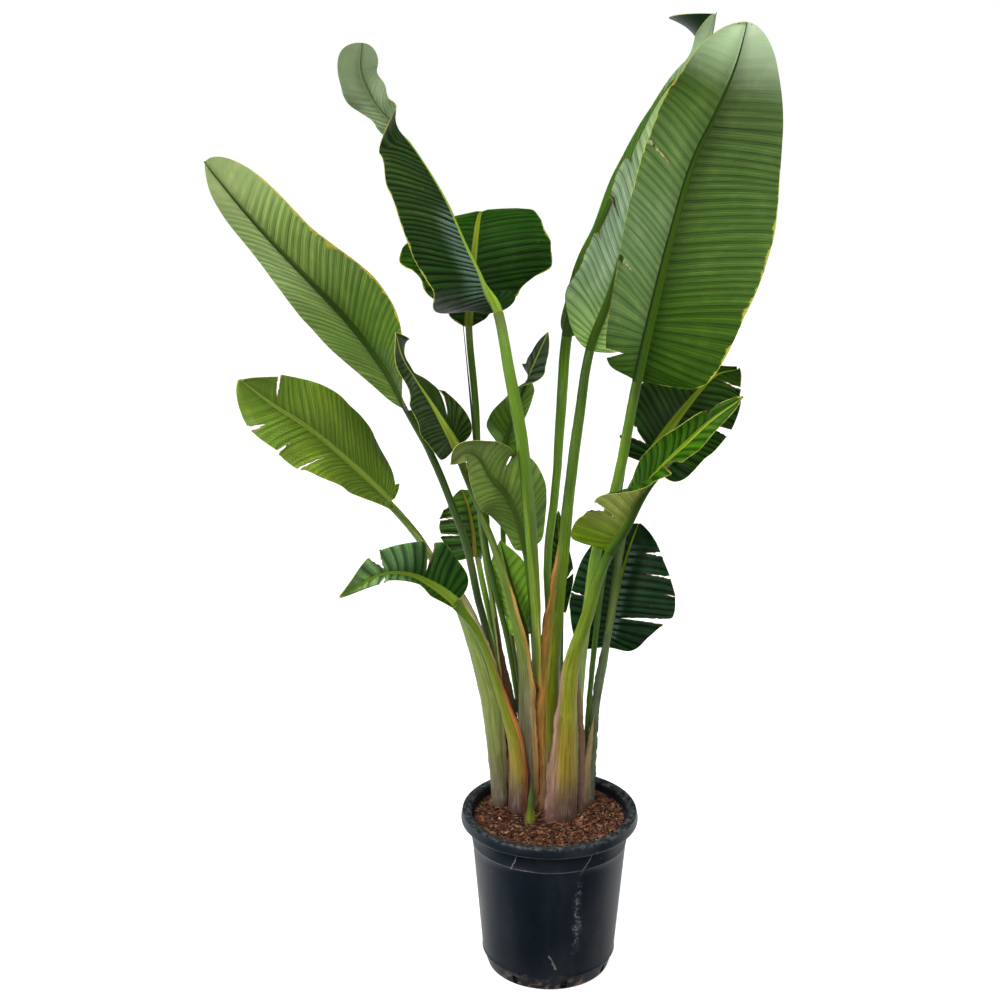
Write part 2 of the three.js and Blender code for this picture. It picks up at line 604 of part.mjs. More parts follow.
function potGeometry() {
  const under = POT_HEIGHT - LIP_DROP - 4;
  const profile = [
    [0, 0],
    [FOOT_RADIUS, 0],
    [BEAD_RADIUS - 1, BEAD_HEIGHT - 2],
    [BEAD_RADIUS + 0.8, BEAD_HEIGHT],
    [BEAD_RADIUS, BEAD_HEIGHT + 3],
    [WALL_TOP_RADIUS, under],
    [LIP_RADIUS - 1, under + 1.5],
    [LIP_RADIUS, POT_HEIGHT - LIP_DROP],
    [RIM_RADIUS, POT_HEIGHT - 1.5],
    [RIM_RADIUS - 1.5, POT_HEIGHT],
    [RIM_RADIUS - 12, POT_HEIGHT - 0.5],
    [wallRadius(POT_HEIGHT) - WALL - 1, POT_HEIGHT - 4],
    [wallRadius(FLOOR) - WALL - 4, FLOOR],
    [0, FLOOR],
  ];
  const drain = new THREE.BoxGeometry(30, DRAIN_WIDTH, DRAIN_HEIGHT - 2);
  const spread = 2 * Math.PI / DRAIN_COUNT;
  let pot = toManifold(lathe(profile));
  for (let k = 0; k < DRAIN_COUNT; k += 1) {
    const cutter = drain.clone();
    cutter.translate(FOOT_RADIUS, 0, DRAIN_HEIGHT / 2);
    cutter.rotateZ(spread * (k + 0.28));
    pot = pot.subtract(toManifold(cutter));
  }
  return fromManifold(pot);
}

function soilGeometry(lines) {
  const reach = (z) => wallRadius(z) - WALL - 1 - 2 * TOUCH_GAP;
  const profile = [
    [0, FLOOR + TOUCH_GAP],
    [reach(FLOOR) - 3.5, FLOOR + TOUCH_GAP],
    [reach(SOIL_TOP) - 0.6, SOIL_TOP - SOIL_CROWN],
    [reach(SOIL_TOP) - 30, SOIL_TOP],
    [0, SOIL_TOP + SOIL_CROWN],
  ];
  let soil = toManifold(lathe(profile));
  for (const { leaf, line } of lines) soil = soil.subtract(toManifold(holeGeometry(leaf, line)));
  const whole = soil.decompose().sort((a, b) => b.volume() - a.volume())[0];
  return fromManifold(whole);
}

function addMesh(name, geometry, color, roughness, side = THREE.FrontSide) {
  const material = new THREE.MeshStandardMaterial({ color, roughness, metalness: 0, side });
  const mesh = new THREE.Mesh(geometry, material);
  mesh.name = name;
  group.add(mesh);
}

const lines = LEAVES.map((leaf) => ({ leaf, line: leafLine(leaf) }));
for (const spear of SPEARS) {
  const [x, y] = spear.points[0];
  const line = smoothLine([[x, y, SOIL_TOP - STALK_SINK], ...spear.points]);
  line.soil = line.shareOf(1);
  line.joint = 1;
  lines.push({ leaf: spear, line });
}

addMesh('pot', potGeometry(), POT_BLACK, 0.45);
addMesh('soil', soilGeometry(lines), SOIL_BROWN, 0.95);
for (const { leaf, line } of lines) {
  if (leaf.rib) {
    const color = leaf.upper === 'front' ? LEAF_GREEN : LEAF_PALE;
    addMesh(`${leaf.name}_stalk`, stalkGeometry(leaf, line), STALK_GREEN, 0.5);
    addMesh(`${leaf.name}_blade`, bladeGeometry(leaf), color, 0.4);
  } else {
    addMesh(leaf.name, stalkGeometry(leaf, line), SHOOT_GREEN, 0.5);
  }
}

export default group;
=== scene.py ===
"""Looks of the potted bird of paradise: nursery pot, soil and seventeen long-stalked leaves.

The working tables are in millimetres, as in the part's source, and every mesh is made in metres.
"""
import math

import bpy
import numpy as np
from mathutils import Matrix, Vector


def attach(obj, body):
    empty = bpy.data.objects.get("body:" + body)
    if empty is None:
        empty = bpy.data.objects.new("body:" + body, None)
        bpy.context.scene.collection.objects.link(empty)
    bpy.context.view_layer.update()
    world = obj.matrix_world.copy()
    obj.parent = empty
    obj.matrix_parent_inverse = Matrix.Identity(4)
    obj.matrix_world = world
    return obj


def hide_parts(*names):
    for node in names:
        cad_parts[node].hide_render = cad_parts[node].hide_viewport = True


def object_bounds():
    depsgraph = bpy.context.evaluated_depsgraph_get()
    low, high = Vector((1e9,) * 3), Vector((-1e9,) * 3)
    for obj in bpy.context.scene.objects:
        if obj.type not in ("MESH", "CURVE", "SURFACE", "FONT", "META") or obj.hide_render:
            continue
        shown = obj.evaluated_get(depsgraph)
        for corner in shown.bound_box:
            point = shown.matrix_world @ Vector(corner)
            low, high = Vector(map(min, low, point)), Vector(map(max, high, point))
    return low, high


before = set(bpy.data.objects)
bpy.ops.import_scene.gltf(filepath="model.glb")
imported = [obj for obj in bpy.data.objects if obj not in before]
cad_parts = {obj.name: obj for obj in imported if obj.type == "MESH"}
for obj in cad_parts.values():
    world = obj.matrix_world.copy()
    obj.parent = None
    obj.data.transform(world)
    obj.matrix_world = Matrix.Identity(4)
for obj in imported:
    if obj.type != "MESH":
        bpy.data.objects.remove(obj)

MM = 0.001

# Camera, in metres, degrees and millimetres of focal length
CAMERA_PLACE = (-0.075, -2.205, 1.372)
CAMERA_PITCH = 16.0
CAMERA_LENS = 57.6

# Lamps, in metres and watts: name, place, the height that it is aimed at, size and power
LAMPS = [
    ("left", (-2.5, -1.3, 2.1), 0.8, (1.2, 2.4), 104),
    ("right", (2.5, -1.0, 1.9), 0.8, (1.0, 2.4), 42),
    ("front", (-0.5, -3.2, 3.0), 0.9, (1.6, 1.0), 60),
    ("top", (0.3, 0.8, 3.3), 0.7, (1.8, 1.4), 60),
    ("right_sheen", (2.6, 0.3, 2.2), 1.0, (0.35, 1.4), 7),
    ("left_sheen", (-1.7, -2.3, 1.25), 0.9, (0.2, 1.4), 18),
    ("top_sheen", (-0.4, -0.9, 3.2), 1.0, (1.2, 0.2), 7),
]
ROOM_LIGHT = 0.16
ROOM_SHEEN = 0.03

# Pot
POT_HEIGHT = 255
RIM_RADIUS = 132
LIP_RADIUS = 134
LIP_BOTTOM = 242
LIP_EDGE = 239.5
WALL_TOP_RADIUS = 119.5
WALL_TOP = 238
RING_HEIGHT = 208
BEAD_HEIGHT = 24
BEAD_RADIUS = 101.5
FOOT_RADIUS = 94
WALL = 2.4
FLOOR = 4
DRAINS = 8
DRAIN_TURN = 0.28
DRAIN_REACH = (79, 112)
POT_SIDES = 224
SHARP_ANGLE = 42

# Marks on the pot's wall, in metres: the smear's x, and each scratch as two places, each an x and a height,
# and its width
SMEAR_X = 0.039
SCRATCHES = [
    ((-0.049, 0.236), (-0.059, 0.206), 0.0008),
    ((0.067, 0.242), (0.042, 0.2), 0.0008),
    ((-0.002, 0.064), (0.008, 0.04), 0.0015),
]

# Soil
SOIL_TOP = 242
SOIL_RINGS = 66
SOIL_SIDES = 224
CHIPS = 4300
CHIP_RINGS = 4
CHIP_SIDES = 6
TIPPED_SHARE = 0.12
CRUMBS = 1500
CRUMB_FORM = (1.0, 0.8, 0.7)
PALE_SHARE = 0.12

# Stalks
STALK_SINK = 42
STALK_STEP = 6
JOINT_GAP = 0.3
LOWER_POINTS = 27
UPPER_POINTS = 19
SHEATH = [1, 0.1, 0]
OLD_SKIN = 90
SCRAP_HALF = 0.3

# Blades
FACTS = ("vein", "out", "ribs", "edge", "gap", "along", "half", "fan")
FAR_AWAY = 99.0
UPPER_SIDE = {"front": (0, -0.85, 0.5), "back": (0, 0.85, 0.5)}
OUTLINE = {"peak": 0.8, "base": 0.62, "tip": 0.85, "lobe": 0.11, "sweep": 1.25, "trim": [1, 1]}
EDGE_DROOP = -14
WAVES = 3
VEIN_CURVE = 1.2
LOBE_LENGTH = 0.25
HALF_THICKNESS = 0.35
RIB_TIP = 0.8
RIB_ROWS = (0.3, 0.6, 0.85)
SOFT_EDGE = 10
COLUMN_LENGTH = 34
COLUMN_STEP = 2.5
STRIP_LIFT = 5
FRAY = 0.9
FRAY_REACH = 9
CURL = 2.2
CURL_REACH = 16

# Colours
# The sheen tone is painted: a pale reflection painted into the leaves' upper sides
PAINTED_SHEEN_TONE = (0.16, 0.26, 0.2)
SCORCHED_TONE = (0.17, 0.085, 0.02)
DRY_TONE = (0.2, 0.12, 0.04)
SPOT_TONE = (0.16, 0.1, 0.03)
CRISP_TONE = (0.12, 0.055, 0.03)
PALE_SKIN_TONE = (0.27, 0.21, 0.21)
DARK_SKIN_TONE = (0.075, 0.035, 0.04)
SPLASH_TONE = (0.075, 0.036, 0.024)
SCAR_TONE = (0.15, 0.085, 0.045)
PLASTIC_TONES = ((0.0045, 0.0085, 0.0135), (0.012, 0.019, 0.027))
FILM_TONE = (0.07, 0.06, 0.05)
RUBBED_TONE = (0.19, 0.18, 0.17)
# Dust on the rim's top, which also stands for its painted highlight
DUST_AND_HIGHLIGHT_TONE = (0.17, 0.165, 0.155)
SMEAR_TONE = (0.16, 0.19, 0.21)
DIRT_TONE = (0.2, 0.13, 0.09)
# Painted highlight lines on the pot's ring and lip
RING_HIGHLIGHT_TONE = (0.12, 0.135, 0.15)
LIP_HIGHLIGHT_TONE = (0.13, 0.15, 0.165)
SPECK_TONE = (0.2, 0.19, 0.18)
SCRATCH_TONE = (0.3, 0.25, 0.2)
SOIL_TONES = ((0.024, 0.011, 0.009), (0.085, 0.036, 0.024), (0.22, 0.115, 0.065))
CRUMB_TONE = (0.14, 0.075, 0.045)
PALE_CRUMB_TONE = (0.4, 0.27, 0.17)
CHIP_TINT = (0.96, 1.0, 0.92)
CHIP_TONES = [
    (0.16, 0.06, 0.035), (0.11, 0.042, 0.026), (0.07, 0.028, 0.018), (0.2, 0.085, 0.05), (0.26, 0.13, 0.08),
    (0.035, 0.018, 0.013), (0.13, 0.05, 0.03), (0.33, 0.19, 0.12), (0.09, 0.05, 0.035), (0.18, 0.07, 0.03),
]
CHIP_SHARES = [0.16, 0.16, 0.12, 0.12, 0.1, 0.08, 0.08, 0.06, 0.06, 0.06]

# Form of each leaf. base is its place in the soil, and stalk and rib are its line to the joint and on to
# the tip. channel is the way that its sheath opens, in degrees, and upper the way that its upper side faces.
# Lists for widths and sheath run from the soil to the joint, and those for turn, fold and trim from the
# joint to the tip. wave is the height of the margin's waves as a share of the half's width. A slit is a
# place along the leaf, the share of the width that stays whole, and how far it opens.
LEAVES = [
  {
    "name": "leaf_upper_left", "base": [-60, 58], "channel": 20, "widths": [15, 8, 7], "wave": 0.012,
    "stalk": [[-75, 45, 445], [-105, 35, 575], [-125, 38, 667], [-176, 35, 805]],
    "rib": [[-206, 35, 864], [-237, 28, 924], [-282, 10, 991], [-327, -12, 1047], [-376, -30, 1104],
      [-416, -45, 1154], [-465, -60, 1220]],
    "upper": "back", "turn": [-40, -15, -15, 20], "outline": { "base": 0.8, "lobe": 0.04, "sweep": 1.5 },
    "right": {
      "width": 62, "fold": [-5, 5, 15], "outline": { "tip": 0.55, "trim": [1, 1, 0.9, 0.85] }, "slits": [],
    },
    "left": {
      "width": 104, "fold": [-30, 5, 0],
      "outline": { "peak": 0.75, "tip": 0.45, "trim": [1, 0.95, 0.84, 0.85] },
      "slits": [],
    },
  },
  {
    "name": "leaf_top_left", "base": [-14, 48], "channel": 0, "widths": [18, 12, 7.5], "wave": 0.03,
    "stalk": [[-15, 30, 495], [-24, 8, 640], [-41, -14, 815], [-62, -22, 930]],
    "rib": [[-78, -30, 1015], [-95, -25, 1060], [-120, -18, 1110], [-143, -10, 1160], [-170, 0, 1205],
      [-196, 12, 1240], [-224, 24, 1268], [-248, 32, 1296], [-264, 38, 1332], [-261, 38, 1370]],
    "upper": "front", "turn": [-30, 5, 5, 5, 5, 15, 100, 170, 175],
    "outline": {
      "base": 0.4, "tip": 0.45, "lobe": 0.05, "sweep": 1.4,
      "trim": [1, 1.02, 1.03, 0.98, 0.9, 0.72, 0.42, 0.38, 0.8],
    },
    "right": {
      "width": 88, "fold": [-65, -105, -110, -100, -60, 0, 0],
      "outline": { "trim": [0.8, 1, 1, 0.8, 0.4, 0.3, 0.32, 0.6, 1] }, "slits": [],
    },
    "left": { "width": 98, "fold": [-30, 30, 35, 35, 25, 0, 0], "slits": [] },
  },
  {
    "name": "leaf_top_centre", "base": [-44, 72], "channel": 0, "widths": [14, 6, 5], "wave": 0.02,
    "stalk": [[-75, 85, 495], [-95, 85, 620], [-105, 85, 715], [-110, 90, 850]],
    "rib": [[-120, 90, 975], [-118, 94, 1015], [-114, 105, 1060], [-110, 125, 1100], [-106, 160, 1124],
      [-102, 210, 1128], [-98, 265, 1118], [-95, 310, 1106]],
    "upper": "front", "turn": [-10, -10, -10, 0],
    "outline": {
      "peak": 0.7, "base": 0.6, "tip": 0.7, "lobe": 0.05,
      "trim": [0.2, 0.35, 0.7, 1.05, 1, 0.9, 0.85, 0.8, 0.8, 0.8, 0.8],
    },
    "right": { "width": 110, "fold": [-10, -5, 5, 0], "slits": [] },
    "left": { "width": 122, "fold": [-5, -10, -10, -15], "slits": [[0.55, 0.7, 0.02]] },
  },
  {
    "name": "leaf_top_right", "base": [38, 30], "channel": 150, "widths": [17, 10, 7], "wave": 0.01,
    "stalk": [[40, 20, 440], [50, 10, 550], [65, 0, 670], [90, -12, 765]],
    "rib": [[115, -30, 920], [135, -45, 1030], [155, -62, 1130], [178, -75, 1222], [206, -95, 1292],
      [224, -107, 1346], [234, -117, 1395]],
    "upper": "back", "turn": [-5, -10, -5, 20],
    "outline": { "peak": 0.85, "base": 0.45, "tip": 0.5, "lobe": 0.08, "sweep": 1.2 },
    "right": {
      "width": 84, "fold": [45, 50, 25], "outline": { "trim": [1, 1, 1, 0.97, 1.1, 1.5] },
      "slits": [[0.12, 0.5, 0.03], [0.3, 0.6, 0.02], [0.62, 0.35, 0.01]],
    },
    "left": { "width": 134, "fold": [0, 10, 15], "slits": [] },
  },
  {
    "name": "leaf_top_back", "base": [12, 74], "channel": 180, "widths": [15, 9, 8], "wave": 0.02,
    "stalk": [[-5, 98, 620], [5, 110, 710], [15, 125, 835]],
    "rib": [[24, 140, 952], [38, 138, 1020], [68, 135, 1104], [96, 133, 1172], [126, 130, 1228],
      [157, 125, 1280], [190, 120, 1332], [216, 114, 1372], [224, 108, 1411]],
    "upper": "back", "turn": [0, -10, -10, 0, 10, 30, 165],
    "outline": { "base": 0.8, "tip": 0.6, "lobe": 0.05, "sweep": 1.4 },
    "right": {
      "width": 65, "fold": [70, 55, 50, 140],
      "outline": { "trim": [1, 0.5, 0.25, 0.28, 0.33, 0.45, 1.2] }, "slits": [],
    },
    "left": {
      "width": 90, "fold": [15, 20, 10], "outline": { "trim": [1, 1, 0.8, 0.5, 0.3, 0.55, 3.4] },
      "slits": [],
    },
  },
  {
    "name": "leaf_top_middle", "base": [0, 28], "channel": 150, "widths": [22, 10, 7], "wave": 0.01,
    "stalk": [[0, 32, 385], [5, 38, 495], [15, 45, 605], [25, 55, 725], [40, 65, 845]],
    "rib": [[55, 75, 943], [80, 72, 1018], [102, 68, 1104], [127, 62, 1200], [150, 58, 1275],
      [163, 55, 1322]],
    "upper": "back", "turn": [-40, 30, 35, 25],
    "outline": { "base": 0.75, "tip": 0.75, "lobe": 0.06, "sweep": 1.5 },
    "right": {
      "width": 74, "fold": [15, -5, -5],
      "slits": [[0.45, 0.7, 0.01], [0.58, 0.35, 0.01], [0.72, 0.7, 0.01]],
    },
    "left": { "width": 80, "fold": [15, 10, 10], "slits": [] },
  },
  {
    "name": "leaf_middle_left", "base": [-76, 30], "channel": 65, "widths": [13, 18, 6.5],
    "sheath": [1, 0.9, 0], "wave": 0.04,
    "stalk": [[-78, 30, 295], [-92, 22, 440], [-123, 8, 560], [-152, -8, 625], [-177, -20, 672],
      [-205, -30, 715]],
    "rib": [[-230, -35, 745], [-255, -45, 775], [-290, -60, 815], [-335, -85, 865], [-380, -110, 905],
      [-418, -133, 943]],
    "upper": "front", "turn": [45, 30, 5, -35], "outline": { "tip": 0.6, "lobe": 0.06, "sweep": 1.7 },
    "right": { "width": 68, "fold": [20, 25, -5], "slits": [[0.07, 0.35, 0.02], [0.86, 0.25, 0.02]] },
    "left": {
      "width": 74, "fold": [30, 30, 5],
      "slits": [[0.56, 0.4, 0.012], [0.7, 0.6, 0.012], [0.82, 0.6, 0.02]],
    },
  },
  {
    "name": "leaf_lower_left", "base": [-49, 10], "channel": 50, "widths": [16, 9, 7], "wave": 0.04,
    "stalk": [[-50, 0, 340], [-75, -10, 450], [-105, -25, 545]],
    "rib": [[-140, -35, 595], [-172, -50, 627], [-205, -75, 652], [-240, -105, 662], [-295, -135, 640]],
    "upper": "front", "turn": [30, 10, 0, 5], "outline": { "lobe": 0.06, "sweep": 1.3 },
    "right": {
      "width": 54, "fold": [30, 50, 45], "outline": { "trim": [1.1, 1.1, 0.9, 0.5] },
      "slits": [[0.42, 0.15, 0.05], [0.72, 0.15, 0.05]],
    },
    "left": { "width": 28, "fold": [20, 50, 45], "slits": [[0.72, 0.35, 0.03]] },
  },
  {
    "name": "leaf_centre_left", "base": [-34, 20], "channel": 50, "widths": [17, 9, 6.5], "wave": 0.03,
    "stalk": [[-35, 15, 375], [-40, 13, 490], [-55, 14, 569], [-75, 18, 644], [-100, 22, 712],
      [-124, 22, 775]],
    "rib": [[-139, 16, 814], [-154, -4, 850], [-172, -26, 890], [-192, -48, 928], [-207, -76, 962],
      [-214, -100, 1000]],
    "upper": "front", "turn": [20, 30, 35, 35], "outline": { "sweep": 1.5, "lobe": 0.08 },
    "right": { "width": 60, "fold": [0, -35, -10], "slits": [[0.3, 0.2, 0.06], [0.55, 0.7, 0.02]] },
    "left": { "width": 54, "fold": [20, 15, 30], "slits": [] },
  },
  {
    "name": "leaf_centre", "base": [-16, 80], "channel": 90, "widths": [11, 8, 6], "wave": 0.03,
    "stalk": [[-16, 84, 410], [-24, 80, 540]],
    "rib": [[-36, 60, 642], [-59, 22, 729], [-88, -18, 779], [-107, -58, 821], [-123, -76, 830],
      [-143, -82, 814]],
    "upper": "back", "turn": [0, -10, 15, 10], "outline": { "tip": 0.7, "sweep": 1.4 },
    "right": { "width": 42, "fold": [45, -28, -30], "slits": [] },
    "left": { "width": 58, "fold": [55, 40, 0], "slits": [[0.6, 0.35, 0.03]] },
  },
  {
    "name": "leaf_centre_back", "base": [-24, 96], "channel": 0, "widths": [9, 6, 4.5], "wave": 0.02,
    "stalk": [[-45, 105, 425], [-65, 108, 555], [-70, 108, 680]],
    "rib": [[-70, 105, 780], [-55, 105, 840], [-30, 105, 905], [-5, 100, 965]],
    "upper": "back", "turn": [-30, 15, 20, 100, 140], "outline": { "sweep": 1.5 },
    "right": { "width": 40, "fold": [55, -20, 0], "slits": [] },
    "left": { "width": 36, "fold": [40, 25, 5], "slits": [[0.7, 0.7, 0.03]] },
  },
  {
    "name": "leaf_front_right", "base": [23, -16], "channel": 120, "widths": [20, 13, 8], "wave": 0.03,
    "stalk": [[25, -20, 410], [30, -30, 505], [50, -35, 575], [68, -39, 645]],
    "rib": [[80, -44, 675], [100, -52, 711], [125, -68, 770], [160, -90, 825], [205, -121, 884],
      [245, -145, 922]],
    "upper": "back", "turn": [10, 20, 60, 120, 150], "outline": { "base": 0.4, "sweep": 1.4 },
    "right": {
      "width": 80, "fold": [20, 10, 10, 0, -10], "outline": { "trim": [1, 1, 1.05, 0.75, 0.4, 0.4, 0.5] },
      "slits": [[0.26, 0.2, 0.04], [0.6, 0.2, 0.05]],
    },
    "left": {
      "width": 62, "fold": [90, 90, 85, 50, 15],
      "outline": { "trim": [0.5, 0.4, 0.4, 0.45, 0.45, 0.5, 0.7] },
      "slits": [[0.85, 0.5, 0.03]],
    },
  },
  {
    "name": "leaf_back_right", "base": [60, 38], "channel": 160, "widths": [14, 9, 7], "wave": 0.03,
    "stalk": [[65, 50, 375], [80, 60, 470], [105, 85, 645], [115, 95, 710]],
    "rib": [[143, 105, 765], [180, 120, 820], [222, 140, 868], [250, 165, 888], [288, 200, 890]],
    "upper": "front", "turn": [30, 10, -20, -30], "outline": { "tip": 0.75, "sweep": 1.4 },
    "right": { "width": 76, "fold": [30, 0, 0], "slits": [[0.5, 0.2, 0.05], [0.8, 0.35, 0.03]] },
    "left": { "width": 74, "fold": [0, 0, -20], "slits": [[0.2, 0.2, 0.07], [0.7, 0.6, 0.03]] },
  },
  {
    "name": "leaf_lower_right", "base": [62, 66], "channel": 180, "widths": [7, 5, 4.5], "wave": 0.03,
    "stalk": [[66, 74, 310], [76, 82, 400]],
    "rib": [[87, 92, 480], [98, 98, 535], [110, 106, 590], [123, 118, 632], [137, 140, 662]],
    "upper": "front", "turn": [25, 5, 0, -5], "outline": { "tip": 0.7, "sweep": 1.2 },
    "right": {
      "width": 88, "fold": [10, 20, 20], "outline": { "trim": [0.7, 0.8, 1.05, 1.03, 1, 0.95, 0.9] },
      "slits": [[0.3, 0.12, 0.06], [0.52, 0.8, 0.012], [0.66, 0.5, 0.02], [0.8, 0.5, 0.03]],
    },
    "left": { "width": 80, "fold": [15, 35, 15], "slits": [[0.4, 0.7, 0.015]] },
  },
  {
    "name": "leaf_back_left", "base": [-62, 86], "channel": 0, "widths": [6, 5, 4.5], "wave": 0.03,
    "stalk": [[-66, 102, 395], [-90, 122, 515]],
    "rib": [[-110, 138, 610], [-115, 145, 650], [-125, 155, 690], [-135, 180, 705]],
    "upper": "front", "turn": [-30, -25, -20, 25], "outline": { "sweep": 1.2 },
    "right": { "width": 50, "fold": [55, 45, 20], "slits": [] },
    "left": {
      "width": 55, "fold": [20, 10, 10],
      "slits": [[0.35, 0.35, 0.05], [0.6, 0.35, 0.03], [0.78, 0.7, 0.02]],
    },
  },
  {
    "name": "leaf_centre_low", "base": [-38, 42], "channel": 60, "widths": [8, 5, 4], "wave": 0.02,
    "stalk": [[-37, 60, 405]],
    "rib": [[-35, 70, 505], [-50, 70, 560], [-65, 75, 615], [-75, 75, 655]],
    "upper": "back", "turn": [25, 10, 5, 10], "outline": { "sweep": 1.5 },
    "right": { "width": 39, "fold": [55, 50, 0], "slits": [] },
    "left": { "width": 39, "fold": [55, 50, 5], "slits": [] },
  },
  {
    "name": "leaf_back_low", "base": [34, 76], "channel": 180, "widths": [6, 5, 4], "wave": 0.03,
    "stalk": [[20, 110, 415]],
    "rib": [[20, 135, 525], [20, 140, 585], [15, 150, 640], [15, 165, 675]],
    "upper": "front", "turn": [-15, -5, -15, -15], "outline": { "sweep": 1.4 },
    "right": { "width": 26, "fold": [50, 50, 45], "slits": [[0.4, 0.35, 0.05]] },
    "left": { "width": 26, "fold": [55, 50, 45], "slits": [] },
  },
]

SPEARS = [
  {
    "name": "spear_left", "channel": 0, "widths": [3.5, 3, 0.8],
    "points": [[-30, 68, 242], [-60, 72, 480], [-95, 73, 640], [-116, 76, 850], [-128, 76, 980]],
  },
  {
    "name": "spear_right", "channel": 180, "widths": [3.5, 3.5, 0.8],
    "points": [[52, 46, 242], [62, 40, 440], [76, 36, 600], [104, 20, 780], [114, 12, 895]],
  },
  {
    "name": "young_shoot", "channel": 90, "widths": [8, 5, 1],
    "points": [[-30, -34, 242], [-29, -30, 275], [-27, -22, 312]],
  },
]

# Looks of each leaf. upper_tones and under_tones run from the joint to the tip, and under_left is the left
# half's underside where it differs. rib_tones are for above and below, and rib_sides is the light on the
# rib's two flanks. rim is the width of the pale margin on the right and left half, lines the light of the
# veins above and below, partly their own colour and partly painted shade along the pleats, crest the
# painted light on the pleats' ridges, and old the share of old skin. A lustre is a half, where it starts
# and ends along it, and its width, and marks where a painted sheen lies. A wing is a side of the stalk, the
# way that its sheath opens in degrees, and how far, from the soil to the joint. stalk_tones run from the
# soil up. pleat is the height of the pleats, pleat_length their spacing, and flow how much the margin waves.
PLAIN_LOOK = {
    "upper_tones": [(0.012, 0.04, 0.004), (0.014, 0.045, 0.004)],
    "under_tones": [(0.08, 0.17, 0.02), (0.11, 0.21, 0.035)],
    "rib_tones": [(0.24, 0.36, 0.03), (0.05, 0.11, 0.006)], "rim_tone": (0.4, 0.42, 0.08),
    "rim": [[0.5, 0.5], [0.5, 0.5]], "rib_sides": [1.0, 1.0], "lines": [0.42, 0.62], "crest": 1.0,
    "old": 1.0, "lustre": [], "wings": [],
    "stalk_tones": [(0.3, 0.27, 0.1), (0.15, 0.26, 0.02), (0.1, 0.21, 0.008), (0.09, 0.19, 0.008)],
    "margin_tone": (0.5, 0.34, 0.12), "pleat": 1.0, "flow": 0.035, "pleat_length": 12,
}

